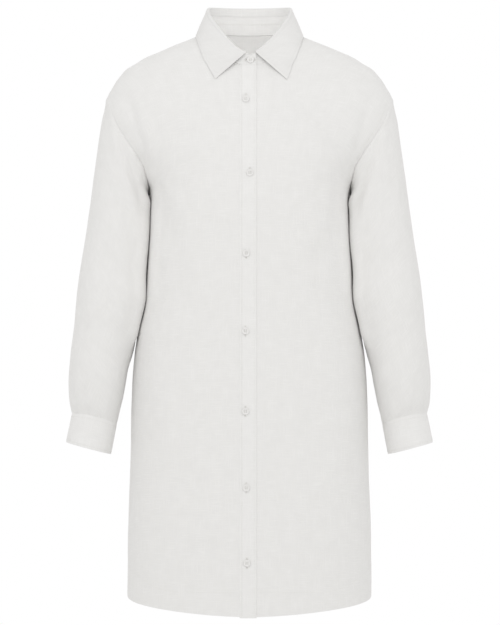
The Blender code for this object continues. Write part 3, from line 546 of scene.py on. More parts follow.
QUARTER = np.linspace(0, math.pi / 2, 129)
HALF = np.linspace(0, math.pi, 193)


def ramp(share):
    """A soft step from 0 to 1."""
    share = np.clip(share, 0, 1)
    return share * share * (3 - 2 * share)


def unit(vectors):
    return vectors / np.linalg.norm(vectors, axis=-1, keepdims=True)


def read_rows(wanted, known, sizes):
    """In each row, the sizes at the place where the rising known numbers reach the wanted one."""
    before = np.clip((known < wanted[:, None]).sum(axis=1) - 1, 0, known.shape[1] - 2)
    row = np.arange(len(wanted))
    low = known[row, before]
    high = known[row, before + 1]
    share = np.clip((wanted - low) / (high - low), 0, 1)
    return [size[row, before] * (1 - share) + size[row, before + 1] * share for size in sizes]


# The body's surface


def quarter_section(width, depth, squareness):
    """Points of a rounded quarter, from its centre line to its side, and the share of its length."""
    power = (2 / squareness)[:, None]
    x = width[:, None] * np.sin(QUARTER) ** power
    y = depth[:, None] * np.clip(np.cos(QUARTER), 0, 1) ** power
    steps = np.hypot(np.diff(x), np.diff(y))
    run = np.concatenate((np.zeros((len(steps), 1)), np.cumsum(steps, axis=1)), axis=1)
    return x, y, run / run[:, -1:]


def line_height(fold, x, z):
    """How far one fold stands out at each place."""
    start = np.array(fold["from"], dtype=float)
    way = np.array(fold["to"], dtype=float) - start
    share = np.clip(((x - start[0]) * way[0] + (z - start[1]) * way[1]) / (way @ way), 0, 1)
    apart = np.hypot(x - start[0] - share * way[0], z - start[1] - share * way[1])
    return fold["height"] * np.exp(-(apart / fold["width"]) ** 2)


def fold_height(x, z, back):
    height = np.zeros_like(x)
    for fold in BODY_FOLDS + BODY_CREASES:
        height += np.where(back == fold["back"], line_height(fold, x, z), 0)
    return height


def rumple(points, rumples):
    """The uneven, softly crumpled surface that linen keeps."""
    flat = points.reshape(-1, 3)
    height = np.zeros(len(flat))
    for layer in rumples:
        places = flat / layer["size"] + layer["shift"]
        waves = [noise.noise(Vector(place)) for place in places]
        height += layer["height"] * np.array(waves)
    return height.reshape(points.shape[:-1])


def body_surface(turn, height):
    """Points and outward directions of the body's cloth."""
    turn, height = np.broadcast_arrays(np.asarray(turn, float), np.asarray(height, float))
    shape = turn.shape
    turn, z = turn.ravel(), height.ravel()
    back = np.abs(turn) > 1
    share = np.where(back, 2 - np.abs(turn), np.abs(turn))
    side = np.where(turn < 0, -1.0, 1.0)
    facing = np.where(back, 1.0, -1.0)

    def section(at):
        depth = np.where(back, BODY.read("back", at), BODY.read("front", at))
        return BODY.read("half_width", at), depth, BODY.read("squareness", at)

    width, depth, squareness = section(z)
    xs, ys, run = quarter_section(width, depth, squareness)
    x, y = read_rows(share, run, (xs, ys))

    def outside(at):
        wide, deep, square = section(at)
        return (x / wide) ** square + (y / deep) ** square

    step = 0.5
    slope_x = squareness * x ** (squareness - 1) / width ** squareness
    slope_y = squareness * y ** (squareness - 1) / depth ** squareness
    slope_z = (outside(z + step) - outside(z - step)) / (2 * step)
    normal = unit(np.stack((side * slope_x, facing * slope_y, slope_z), axis=-1))
    points = np.stack((side * x, facing * y, z), axis=-1)
    folds = fold_height(side * x, z, back) * ramp((1 - share) / FOLD_FADE)
    apart = np.linalg.norm(points, axis=-1)
    folds += rumple(points, BODY_RUMPLES) * ramp((apart - RUMPLE_START) / RUMPLE_FADE)
    points += normal * folds[:, None]
    return points.reshape(shape + (3,)), normal.reshape(shape + (3,))


def turn_at(x, height, back=False):
    """The turn at which the body's cloth lies x from the centre line."""
    x, z = np.broadcast_arrays(np.atleast_1d(np.asarray(x, float)), np.asarray(height, float))
    depth = BODY.read("back" if back else "front", z)
    xs, _, run = quarter_section(BODY.read("half_width", z), depth, BODY.read("squareness", z))
    share = read_rows(np.abs(x), xs, (run,))[0]
    turn = 2 - share if back else share
    return np.where(x < 0, -turn, turn)


def body_depth(x, height, back):
    """How far before or behind the middle the body's cloth lies, without its folds."""
    width = BODY.read("half_width", height)
    depth = BODY.read("back" if back else "front", height)
    squareness = BODY.read("squareness", height)
    return depth * np.clip(1 - (np.abs(x) / width) ** squareness, 0, 1) ** (1 / squareness)


def hem_height(share):
    return HEM_CENTRE + (HEM_SIDE - HEM_CENTRE) * share ** BOW


def band_height(share):
    rise = ramp((share - HEM_BAND_START) / (1 - HEM_BAND_START))
    return HEM_BAND_CENTRE + (HEM_BAND_SIDE - HEM_BAND_CENTRE) * rise


def bowed(centre, side, share):
    """Heights along a row of cloth, which comes level to the armhole near the underarm."""
    level = 0.0
    if side >= UNDERARM_HEIGHT:
        level = min(1.0, (YOKE_SIDE - side) / LEVEL_REACH) if side < YOKE_SIDE else 0.0
    return centre + (side - centre) * ((1 - level) * share ** BOW + level * ramp(share))


def side_turn(height):
    """The side line, which stands back beside the vent."""
    return SIDE_LINE - np.where(height < HEM_BAND_SIDE + 1, VENT_GAP, 0)


def neck_height(x):
    return float(NECK.read("height", abs(x)))


def front_reach(height):
    """The turn at which a row of a front ends: the side seam, the armhole or the shoulder."""
    if height <= UNDERARM_HEIGHT:
        return SIDE_LINE
    if height == SHOULDER_HEIGHT:
        return SHOULDER_LINE - SHOULDER_GAP
    return turn_at(ARMHOLE.read("front", height), height)[0]


def back_reach(height):
    """How far from the centre back a row ends, at the side seam or the armhole."""
    if height <= UNDERARM_HEIGHT:
        return SIDE_LINE
    return 2 - turn_at(ARMHOLE.read("back", height), height, back=True)[0]


def back_turn(way):
    """The turn at a way from the centre back: -1 at the right side, 1 at the left side."""
    return np.where(way < 0, -2 - way, 2 - way)


def edge_rows(neck_steps):
    """Heights up a front's centre edge between the underarm's row and the neck seam."""
    count = len(ARMHOLE_HEIGHTS) - neck_steps - 1
    corner = NECK_WIDTH * math.sin(math.radians(NECK_SHOULDER + NECK_STEP * neck_steps))
    return np.linspace(PANEL_ROWS[-1]["centre"], neck_height(corner), count + 2)[1:-1]


def front_rows(side, neck_steps):
    """Turns and heights of a front's rows, from the hem to the shoulder seam."""
    across = np.linspace(0, 1, FRONT_COLUMNS + 1)
    neck = NECK_SHOULDER + NECK_STEP * np.arange(neck_steps, -1, -1)
    neck_x = NECK_WIDTH * np.sin(np.radians(neck))
    edge = neck_x[0] - side * SEAM / 2
    turns, heights = [], []
    start = turn_at(edge, HEM_CENTRE)[0]
    share = np.abs(start + (1 - start) * across)
    for height in (hem_height(share), band_height(share)):
        turns.append(start + (side_turn(height) - start) * across)
        heights.append(height)
    up = edge_rows(neck_steps)
    rows = [(row["centre"], row["side"]) for row in PANEL_ROWS]
    rows += list(zip(up, ARMHOLE_HEIGHTS))
    for centre, low in rows:
        start = turn_at(edge, centre)[0]
        turns.append(start + (front_reach(low) - start) * across)
        heights.append(bowed(centre, low, across))
    neck_x[0] = edge
    for x, low in zip(neck_x, ARMHOLE_HEIGHTS[len(up):]):
        top = low == SHOULDER_HEIGHT
        start = front_reach(low) if top else turn_at(x, neck_height(x))[0]
        turns.append(start + (front_reach(low) - start) * across)
        heights.append(bowed(NECK_HEIGHT if top else neck_height(x), low, across))
    return np.array(turns) * side, np.array(heights)


def yoke_seam(share):
    return bowed(YOKE_CENTRE, YOKE_SIDE, np.abs(share))


def back_rows():
    """Turns and heights of the back's rows, from the hem to the yoke."""
    across = np.linspace(-1, 1, BACK_COLUMNS + 1)
    share = np.abs(across)
    ways, heights = [], []
    for height in (hem_height(share), band_height(share)):
        ways.append(across * side_turn(height))
        heights.append(height)
    for row in PANEL_ROWS + BACK_TOP_ROWS:
        ways.append(across * back_reach(row["side"]))
        heights.append(bowed(row["centre"], row["side"], share))
    ways.append(across * back_reach(YOKE_SIDE))
    heights.append(yoke_seam(share) - SEAM / 2)
    return np.array(ways), np.array(heights)


def yoke_rows():
    """Ways and heights of the yoke's rows, from its seam across the back to the neck."""
    shoulder = np.linspace(0, 1, FRONT_COLUMNS + 1)
    angle = np.arange(-NECK_SHOULDER + NECK_STEP, NECK_SHOULDER - 1, NECK_STEP)
    neck = angle / NECK_SHOULDER
    neck_x = NECK_WIDTH * np.sin(np.radians(angle))
    neck_way = np.sign(angle) * (2 - np.abs(turn_at(neck_x, NECK_HEIGHT, back=True)))
    shoulder_way = 2 - SHOULDER_LINE - SHOULDER_GAP
    top_way = np.concatenate((np.full(len(shoulder), -shoulder_way), neck_way,
                              np.full(len(shoulder), shoulder_way)))
    slope = bowed(NECK_HEIGHT, SHOULDER_HEIGHT, shoulder)
    top_height = np.concatenate((slope[::-1], np.full(len(neck), NECK_HEIGHT), slope))
    beside = YOKE_NECK_SHARE + (1 - YOKE_NECK_SHARE) * shoulder
    across = np.concatenate((-beside[::-1], neck * YOKE_NECK_SHARE, beside))
    levels = [0]
    for height in ARMHOLE_HEIGHTS[-1 - YOKE_ARMHOLE_ROWS:-1]:
        levels.append((height - YOKE_SIDE) / (SHOULDER_HEIGHT - YOKE_SIDE))
    levels.append(1)
    low_way = across * back_reach(YOKE_SIDE)
    low_height = yoke_seam(across) + SEAM / 2
    ways, heights = [], []
    for level in levels:
        way = low_way + (top_way - low_way) * level
        height = low_height + (top_height - low_height) * level
        if 0 < level < 1:
            way = fit_ends(way, back_reach(height[0]))
        ways.append(way)
        heights.append(height)
    return np.array(ways), np.array(heights)


def fit_ends(way, reach):
    """Stretches a row of the yoke so that it ends on the armhole."""
    share = np.abs(way) / np.abs(way[0])
    return way + np.sign(way) * (reach - np.abs(way[0])) * share ** 4


# Cloth made from a grid of places


def fine_places(points, grain):
    """Places between the rows of a grid, close enough for the cloth's grain."""
    steps = np.linalg.norm(np.diff(points, axis=0), axis=-1).max(axis=1)
    places = []
    for row, step in enumerate(steps):
        count = max(1, round(step / grain))
        places += [row + part / count for part in range(count)]
    return np.array(places + [len(steps)])


def lengths(points, axis):
    """How far along the cloth each point lies."""
    points = np.moveaxis(points, axis, 0)
    steps = np.linalg.norm(np.diff(points, axis=0), axis=-1)
    run = np.concatenate((np.zeros((1,) + steps.shape[1:]), np.cumsum(steps, axis=0)))
    return np.moveaxis(run, 0, axis)


def sink_edges(points, normal, edges, depth=0.12, width=1.6):
    """Turns the cloth in where it is sewn or folded over, so that its edges are soft."""
    down, across = lengths(points, 0), lengths(points, 1)
    apart = {
        "first_row": down,
        "last_row": down[-1] - down,
        "first_column": across,
        "last_column": across[:, -1:] - across,
    }
    sink = np.zeros(points.shape[:2])
    for edge in edges:
        sink = np.maximum(sink, np.exp(-(apart[edge] / width) ** 2))
    return points - normal * (sink * depth)[..., None]


def cloth(name, points, normal, wall, material, tube=False, grain_shift=(0, 0), walls=None):
    """A thin shell of linen through a grid of points, with its weave in real sizes."""
    rows, columns = points.shape[:2]
    along = lengths(points, 0) - lengths(points, 0)[rows // 2]
    across = lengths(points, 1)
    across = across - across[:, columns // 2:columns // 2 + 1]
    sheet = bmesh.new()
    bmesh.ops.create_grid(sheet, x_segments=columns - 1, y_segments=rows - 1, size=1)
    weave = sheet.loops.layers.uv.new("weave")
    thick = sheet.verts.layers.deform.new()
    place = {}
    for point in sheet.verts:
        column = round((point.co.x + 1) / 2 * (columns - 1))
        row = round((point.co.y + 1) / 2 * (rows - 1))
        place[point] = (row, column)
    for face in sheet.faces:
        for corner in face.loops:
            row, column = place[corner.vert]
            corner[weave].uv = (across[row, column] * MM + grain_shift[0],
                                along[row, column] * MM + grain_shift[1])
    most = wall if walls is None else walls.max()
    facing = 0.0
    for point, (row, column) in place.items():
        point.co = Vector(points[row, column]) * MM
        point[thick][0] = 1.0 if walls is None else walls[row, column] / most
    for face in list(sheet.faces)[::max(1, len(sheet.faces) // 40)]:
        face.normal_update()
        row, column = place[face.verts[0]]
        facing += face.normal.dot(Vector(normal[row, column]))
    if facing < 0:
        bmesh.ops.reverse_faces(sheet, faces=sheet.faces)
    if tube:
        bmesh.ops.remove_doubles(sheet, verts=sheet.verts, dist=1e-6)
    for edge in sheet.edges:
        edge.smooth = not edge.is_boundary
    piece = finished(name, sheet, material, smooth=180)
    piece.vertex_groups.new(name="thickness")
    shell = piece.modifiers.new("cloth", "SOLIDIFY")
    shell.thickness = most * MM
    shell.offset = -1
    shell.use_even_offset = False
    if walls is not None:
        shell.vertex_group = "thickness"
    return piece


def finished(name, mesh, material, smooth=40):
    """Turns a bmesh into a named object with its material."""
    data = bpy.data.meshes.new(name)
    mesh.to_mesh(data)
    mesh.free()
    data.shade_smooth()
    if smooth < 180:
        data.set_sharp_from_angle(angle=math.radians(smooth))
    data.materials.append(material)
    piece = bpy.data.objects.new(name, data)
    bpy.context.collection.objects.link(piece)
    return piece


# Sleeves and cuffs


def armhole_loop(side):
    """The armhole seam's points from the shoulder round the front, mirrored onto the right side."""
    heights = np.array(ARMHOLE_HEIGHTS[-2::-1] + (UNDERARM_HEIGHT,))
    front = turn_at(ARMHOLE.read("front", heights), heights)
    back = turn_at(ARMHOLE.read("back", heights), heights, back=True)
    turns = np.concatenate(([SHOULDER_LINE], front, back[-2::-1], [SHOULDER_LINE]))
    levels = np.concatenate(([SHOULDER_HEIGHT], heights, heights[-2::-1], [SHOULDER_HEIGHT]))
    places = np.linspace(0, len(turns) - 1, (len(turns) - 1) * PARTS + 1)[:-1]
    half = len(heights)
    turns = np.concatenate((read_at(turns[:half + 1], places[places <= half]),
                            read_at(turns[half:], places[places > half] - half)))
    levels = np.concatenate((read_at(levels[:half + 1], places[places <= half]),
                             read_at(levels[half:], places[places > half] - half)))
    points, normal = body_surface(turns * side, levels)
    mirror = np.array((-side, 1, 1))
    return points * mirror, normal * mirror, half * PARTS


def ring_points(around, half, depth_front, depth_back, squareness):
    """A ring's points by the turn round it: outward and forward distances from its middle."""
    around = np.asarray(around, float)
    back = around > 1
    share = np.where(back, 2 - around, around)
    power = 2 / squareness
    depth = np.where(back, depth_back, depth_front)
    reach = half * np.sign(np.cos(HALF)) * np.abs(np.cos(HALF)) ** power
    reach = np.broadcast_to(reach, (len(around), len(HALF)))
    forward = depth[:, None] * np.abs(np.sin(HALF)) ** power
    steps = np.hypot(np.diff(reach), np.diff(forward))
    run = np.concatenate((np.zeros((len(steps), 1)), np.cumsum(steps, axis=1)), axis=1)
    out, ahead = read_rows(share, run / run[:, -1:], (reach, forward))
    return out, np.where(back, -ahead, ahead)


def sleeve_ring(around, ring):
    """One ring of the right sleeve, before it is fitted to the armhole."""
    outer_z = float(SLEEVE.read("outer", ring))
    inner_z = float(SLEEVE.read("inner", ring))
    middle = float(SLEEVE.read("middle", ring))
    outer = np.array((-float(OUTER_LINE.read("out", outer_z)), middle, outer_z))
    inner = np.array((-float(INNER_LINE.read("out", inner_z)), middle, inner_z))
    half = np.linalg.norm(outer - inner) / 2
    out, ahead = ring_points(around, half, float(SLEEVE.read("front", ring)),
                             float(SLEEVE.read("back", ring)),
                             float(SLEEVE.read("squareness", ring)))
    way = (outer - inner) / (2 * half)
    points = (outer + inner) / 2 + out[:, None] * way
    points[:, 1] -= ahead
    return points


def grid_normals(points, outward=1, tube=False):
    """Directions square to a grid of points."""
    down = np.gradient(points, axis=0)
    if tube:
        across = (np.roll(points, -1, axis=1) - np.roll(points, 1, axis=1)) / 2
    else:
        across = np.gradient(points, axis=1)
    return unit(np.cross(across, down)) * outward


def sleeve_fold(around, ring):
    """How far the folds and creases move the sleeve's cloth out."""
    height = np.zeros_like(around)
    for fold in SLEEVE_FOLDS + SLEEVE_CREASES + SLEEVE_LEAN:
        start = np.array(fold["from"]) * (1, RING_SCALE)
        way = np.array(fold["to"]) * (1, RING_SCALE) - start
        beside = around - start[0]
        beyond = ring * RING_SCALE - start[1]
        share = np.clip((beside * way[0] + beyond * way[1]) / (way @ way), 0, 1)
        apart = np.hypot(beside - share * way[0], beyond - share * way[1])
        height += fold["height"] * np.exp(-(apart / fold["width"]) ** 2)
    return height


def bow_up(points, around, beside):
    """Lifts the cloth near the cuff's seam in front."""
    share = np.where(around % 2 < 1, around % 2, 0)
    lift = CUFF_BOW["height"] * np.sin(math.pi * share) ** 2
    lift = lift * np.exp(-(beside / CUFF_BOW["reach"]) ** 2)
    return points + lift[..., None] * np.array(CUFF_UP)


def sleeve_grid(side):
    """Points and directions of a sleeve, in rings from the armhole to the cuff."""
    loop, loop_normal, half = armhole_loop(side)
    steps = np.linalg.norm(np.roll(loop, -1, axis=0) - loop, axis=1)
    front = np.cumsum(np.concatenate(([0], steps[:half])))
    back = np.cumsum(np.concatenate(([0], steps[half:])))
    around = np.concatenate((front / front[-1], 1 + back[1:-1] / back[-1]))
    along = unit(np.roll(loop, -1, axis=0) - np.roll(loop, 1, axis=0))
    away = unit(np.cross(along, loop_normal))
    start = loop + loop_normal * SEAM_RAISE + away * SEAM_AWAY
    residual = start - sleeve_ring(around, 0)
    rings = read_at(np.array(SLEEVE_ROWS, dtype=float),
                    np.linspace(0, len(SLEEVE_ROWS) - 1, (len(SLEEVE_ROWS) - 1) * PARTS + 1))
    rows = []
    for ring in rings:
        fade = max(0.0, 1 - ring / RESIDUAL_END) ** 2
        rows.append(sleeve_ring(around, ring) + residual * fade)
    places = np.broadcast_arrays(around, rings[:, None])
    points = bow_up(np.array(rows), places[0], (LAST_RING - places[1]) * LAST_RINGS_APART)
    normal = grid_normals(points, outward=-1, tube=True)
    mirror = np.array((-side, 1, 1))
    folds = sleeve_fold(*places)
    fade = ramp(rings / 1.2) * ramp((LAST_RING - rings) / 0.8)
    folds += rumple(points * mirror, SLEEVE_RUMPLES) * fade[:, None]
    points = points + normal * folds[..., None]
    normal = grid_normals(points, outward=-1, tube=True)
    return points * mirror, normal * mirror


def closed(grid):
    """The grid with its first column again at the end, for a tube."""
    return np.concatenate((grid, grid[:, :1]), axis=1)


def cuff_grid(side, around, downs):
    """Points and directions of a cuff whose ends lap."""
    rows = []
    for down in downs:
        outer = np.array((-CUFF.read("outer_x", down), CUFF.read("middle", down),
                          CUFF.read("outer_z", down)))
        inner = np.array((-CUFF.read("inner_x", down), CUFF.read("middle", down),
                          CUFF.read("inner_z", down)))
        half = np.linalg.norm(outer - inner) / 2
        out, ahead = ring_points(around % 2, half, float(CUFF.read("front", down)),
                                 float(CUFF.read("back", down)), CUFF_SQUARENESS)
        points = (outer + inner) / 2 + out[:, None] * (outer - inner) / (2 * half)
        points[:, 1] -= ahead
        rows.append(points)
    beside = np.broadcast_to(np.asarray(downs, float)[:, None] * CUFF_DEPTH,
                             (len(rows), len(around)))
    points = bow_up(np.array(rows), around[None], beside)
    normal = grid_normals(points, outward=-1)
    lift = CUFF_LIFT * ramp((around - CUFF_START - CUFF_LAP_START) / CUFF_LAP_RISE)
    points = points + normal * lift[None, :, None]
    mirror = np.array((-side, 1, 1))
    return points * mirror, normal * mirror


# Collar


def neck_seam(angle):
    """The neck seam by the angle round the neck, 0 at the back and 180 at the front."""
    angle = np.asarray(angle, float)
    x = NECK_WIDTH * np.sin(np.radians(angle))
    front = np.abs(angle) > 90
    height = np.where(front, NECK.read("height", np.abs(x)), NECK_HEIGHT)
    ahead = body_depth(x, height, back=False)
    behind = body_depth(x, height, back=True)
    return np.stack((x, np.where(front, -ahead, behind), height), axis=-1)


def round_neck(angle, width, back, front):
    """Level directions round the neck: points of a plan oval, and straight out from it."""
    wide, deep = np.sin(np.radians(angle)), np.cos(np.radians(angle))
    depth = np.where(deep > 0, back, front)
    points = np.stack((width * wide, depth * deep, np.zeros_like(wide)), axis=-1)
    out = unit(np.stack((wide / width, deep / depth, np.zeros_like(wide)), axis=-1))
    return points, out


def turned_back(angle):
    """The angle as the tables know it, from 0 to 180."""
    angle = np.abs(angle)
    return np.where(angle > 180, 360 - angle, angle)


def stand_lift(angle):
    """How far the right end of the stand lies out, over the left one."""
    return STAND_LIFT * ramp((-angle - LIFT_START) / (LIFT_END - LIFT_START))


def stand_edges(angle):
    """The stand's lower and upper edge on its outer face, and the way out from the neck."""
    top, out = round_neck(angle, STAND_TOP_WIDTH, STAND_TOP_BACK, STAND_TOP_FRONT)
    known = turned_back(angle)
    top[:, 2] = ROLL.read("height", known) - ROLL.read("rise", known)
    low = neck_seam(angle)
    low[:, 2] += SEAM
    lift = out * stand_lift(angle)[:, None]
    return low + lift, top + lift, out


def leaf_edge(angle):
    """The leaf's outer edge, lying just clear of the body."""
    known = turned_back(angle)
    drop = ramp((angle - 150) / (LEAF_LEFT_END - 150))
    x = LEAF_EDGE.read("out", known) * np.where(angle < 0, -1, 1) + LEFT_TIP["out"] * drop
    height = LEAF_EDGE.read("height", known) - LEFT_TIP["down"] * drop
    turn = np.where(known > 90, turn_at(x, height), turn_at(x, height, back=True))
    points, normal = body_surface(turn, height)
    return points + normal * LEAF_CLEARANCE


def leaf_grid():
    """Points and directions of the leaf: up from the stand, over the roll, down to its edge."""
    angle = np.arange(LEAF_RIGHT_END, LEAF_LEFT_END, COLLAR_STEP)
    angle = np.concatenate((angle, [LEAF_LEFT_END]))
    known = turned_back(angle)
    _, top, out = stand_edges(angle)
    radius = np.minimum(ROLL_RADIUS, ROLL.read("rise", known) * ROLL_SHARE)[:, None]
    up = np.array((0.0, 0.0, 1.0))
    seam = top - out * SOLID_DOUBLE + up * LEAF_SEAM
    crown = top - out * (SOLID_DOUBLE - radius)
    crown[:, 2] = ROLL.read("height", known) - radius[:, 0]
    leans = np.radians(np.arange(0, 181, ROLL_STEP))
    ways = [up * math.sin(lean) - out * math.cos(lean) for lean in leans]
    roll = [crown + way * radius for way in ways]
    rows = [seam + (roll[0] - seam) * share for share in (0, 0.25, 0.5, 0.75)]
    normals = [-out] * len(rows) + ways
    rows += roll
    edge = leaf_edge(angle)
    for share in np.linspace(0, 1, 19)[1:]:
        bulge = FALL_BULGE * math.sin(math.pi * share)
        rows.append(roll[-1] + (edge - roll[-1]) * share + out * bulge)
    points = np.array(rows)
    normal = grid_normals(points)
    normal[:len(normals)] = np.array(normals)
    return points, normal


# Finishes


def new_socket(group, name, way, kind, value=None):
    socket = group.interface.new_socket(name=name, in_out=way, socket_type=kind)
    if value is not None:
        socket.default_value = value


def calculate(nodes, links, operation, first, second=None):
    """A Math node on two sockets or numbers."""
    node = nodes.new("ShaderNodeMath")
    node.operation = operation
    for number, value in enumerate((first, second)):
        if value is None:
            continue
        if isinstance(value, (int, float)):
            node.inputs[number].default_value = value
        else:
            links.new(value, node.inputs[number])
    return node.outputs["Value"]


def stretched_noise(nodes, links, place, width, height, detail=1.0):
    """Noise that is width by height metres large across and along the cloth."""
    stretch = nodes.new("ShaderNodeMapping")
    stretch.inputs["Scale"].default_value = (1 / width, 1 / height, 1)
    links.new(place, stretch.inputs["Vector"])
    grain = nodes.new("ShaderNodeTexNoise")
    grain.noise_dimensions = "2D"
    grain.inputs["Scale"].default_value = 1.0
    grain.inputs["Detail"].default_value = detail
    links.new(stretch.outputs["Vector"], grain.inputs["Vector"])
    return grain.outputs["Fac"]


def softly_between(nodes, links, value, low, high):
    """A smooth step of a value from 0 at low to 1 at high."""
    step = nodes.new("ShaderNodeMapRange")
    step.interpolation_type = "SMOOTHSTEP"
    step.inputs["From Min"].default_value = low
    step.inputs["From Max"].default_value = high
    links.new(value, step.inputs["Value"])
    return step.outputs["Result"]


def weave_group():
    """Plain weave with thick places in its threads, and the cloth's soft unevenness."""
    group = bpy.data.node_groups.new("plain weave", "ShaderNodeTree")
    new_socket(group, "Cloth place", "INPUT", "NodeSocketVector")
    new_socket(group, "Thread width", "INPUT", "NodeSocketFloat", 0.0006)
    new_socket(group, "Thick places", "INPUT", "NodeSocketFloat", 0.6)
    new_socket(group, "Tone", "OUTPUT", "NodeSocketFloat")
    new_socket(group, "Height", "OUTPUT", "NodeSocketFloat")
    nodes, links = group.nodes, group.links
    inside = nodes.new("NodeGroupInput")
    outside = nodes.new("NodeGroupOutput")
    place = inside.outputs["Cloth place"]

    threads = nodes.new("ShaderNodeVectorMath")
    threads.operation = "SCALE"
    links.new(place, threads.inputs[0])
    links.new(calculate(nodes, links, "DIVIDE", math.pi, inside.outputs["Thread width"]),
              threads.inputs["Scale"])
    wander = stretched_noise(nodes, links, place, 0.011, 0.013)
    split = nodes.new("ShaderNodeSeparateXYZ")
    links.new(threads.outputs["Vector"], split.inputs["Vector"])
    drift = calculate(nodes, links, "MULTIPLY", wander, 9.0)
    warp = calculate(nodes, links, "SINE", calculate(nodes, links, "ADD", split.outputs["X"], drift))
    weft = calculate(nodes, links, "SINE", calculate(nodes, links, "ADD", split.outputs["Y"], drift))
    over = calculate(nodes, links, "MULTIPLY", warp, weft)

    level = softly_between(nodes, links, stretched_noise(nodes, links, place, 0.024, 0.0011), 0.52, 0.74)
    upright = softly_between(nodes, links, stretched_noise(nodes, links, place, 0.0011, 0.034), 0.54, 0.76)
    thick = calculate(nodes, links, "MAXIMUM", level, upright)
    thick = calculate(nodes, links, "MULTIPLY", thick, inside.outputs["Thick places"])
    cloud = stretched_noise(nodes, links, place, 0.017, 0.021, 2.0)
    pucker = stretched_noise(nodes, links, place, 0.0065, 0.0085, 1.0)

    tone = calculate(nodes, links, "ADD", calculate(nodes, links, "MULTIPLY", thick, 0.5),
                     calculate(nodes, links, "MULTIPLY", cloud, 0.4))
    links.new(tone, outside.inputs["Tone"])
    height = calculate(nodes, links, "ADD", calculate(nodes, links, "MULTIPLY", over, 0.22),
                       calculate(nodes, links, "MULTIPLY", thick, 0.5))
    height = calculate(nodes, links, "ADD", height, calculate(nodes, links, "MULTIPLY", pucker, 0.7))
    links.new(height, outside.inputs["Height"])
    return group


def new_finish(name):
    """A material, its nodes and links, and its shader."""
    finish = bpy.data.materials.new(name)
    finish.use_nodes = True
    nodes, links = finish.node_tree.nodes, finish.node_tree.links
    return finish, nodes, links, nodes["Principled BSDF"]


def tint(nodes, links, shader, mask, dark, light):
    """Colours the surface from dark to light where a mask rises."""
    shade = nodes.new("ShaderNodeMix")
    shade.data_type = "RGBA"
    shade.inputs["A"].default_value = (*dark, 1)
    shade.inputs["B"].default_value = (*light, 1)
    links.new(mask, shade.inputs["Factor"])
    links.new(shade.outputs["Result"], shader.inputs["Base Color"])


def roughen(nodes, links, shader, mask, low, high):
    """Roughness that goes from its first value to its second where a mask rises."""
    rough = nodes.new("ShaderNodeMapRange")
    rough.inputs["To Min"].default_value = low
    rough.inputs["To Max"].default_value = high
    links.new(mask, rough.inputs["Value"])
    links.new(rough.outputs["Result"], shader.inputs["Roughness"])


def emboss(nodes, links, shader, height, distance, strength):
    """Raises the surface by a height, as bump."""
    bump = nodes.new("ShaderNodeBump")
    bump.inputs["Distance"].default_value = distance
    bump.inputs["Strength"].default_value = strength
    links.new(height, bump.inputs["Height"])
    links.new(bump.outputs["Normal"], shader.inputs["Normal"])


def linen_finish(name, group, dark, light, thread=0.0006, thick_places=0.6, relief=0.00022):
    """Off-white linen: a matt, faintly fuzzy plain weave."""
    finish, nodes, links, shader = new_finish(name)
    shader.inputs["Sheen Weight"].default_value = 0.12
    shader.inputs["Sheen Roughness"].default_value = 0.6
    shader.inputs["Specular IOR Level"].default_value = 0.25
    place = nodes.new("ShaderNodeUVMap")
    place.uv_map = "weave"
    weave = nodes.new("ShaderNodeGroup")
    weave.node_tree = group
    weave.inputs["Thread width"].default_value = thread
    weave.inputs["Thick places"].default_value = thick_places
    links.new(place.outputs["UV"], weave.inputs["Cloth place"])
    tint(nodes, links, shader, weave.outputs["Tone"], dark, light)
    roughen(nodes, links, shader, weave.outputs["Tone"], 0.96, 0.84)
    emboss(nodes, links, shader, weave.outputs["Height"], relief, 0.8)
    return finish


def thread_finish():
    finish, nodes, links, shader = new_finish("sewing thread")
    shader.inputs["Specular IOR Level"].default_value = 0.4
    place = nodes.new("ShaderNodeTexCoord")
    twist = nodes.new("ShaderNodeTexNoise")
    twist.inputs["Scale"].default_value = 1400
    links.new(place.outputs["Object"], twist.inputs["Vector"])
    tint(nodes, links, shader, twist.outputs["Fac"], (0.72, 0.71, 0.68), (0.84, 0.835, 0.81))
    shader.inputs["Roughness"].default_value = 0.6
    emboss(nodes, links, shader, twist.outputs["Fac"], 0.0001, 1.0)
    return finish


def shell_finish():
    """Pale shell with soft clouds and a low polish."""
    finish, nodes, links, shader = new_finish("shell")
    shader.inputs["Coat Weight"].default_value = 0.35
    shader.inputs["Coat Roughness"].default_value = 0.15
    place = nodes.new("ShaderNodeTexCoord")
    cloud = nodes.new("ShaderNodeTexNoise")
    cloud.inputs["Scale"].default_value = 260
    cloud.inputs["Detail"].default_value = 3
    cloud.inputs["Distortion"].default_value = 1.4
    links.new(place.outputs["Object"], cloud.inputs["Vector"])
    tint(nodes, links, shader, cloud.outputs["Fac"], (0.75, 0.74, 0.725), (0.86, 0.853, 0.84))
    roughen(nodes, links, shader, cloud.outputs["Fac"], 0.22, 0.38)
    emboss(nodes, links, shader, cloud.outputs["Fac"], 0.00008, 0.4)
    return finish


WEAVE = weave_group()
LINEN = linen_finish("linen", WEAVE, (0.79, 0.783, 0.77), (0.88, 0.873, 0.862))
DOUBLED = linen_finish("doubled linen", WEAVE, (0.805, 0.798, 0.786), (0.89, 0.884, 0.874))
# The collar's leaf gets a darker copy of the linen: painted shade, toning down the extra light that its
# upper faces take from above.
COLLAR_LINEN_PAINTED_SHADE = linen_finish("collar linen with painted shade", WEAVE, (0.775, 0.768, 0.756), (0.86, 0.854, 0.844))
THREAD = thread_finish()
SHELL = shell_finish()

# The pieces of cloth


def wear(piece, node):
    """Puts a piece in its solid's place: hides the solid and hangs the piece on the root."""
    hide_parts(node)
    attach(piece, "root")


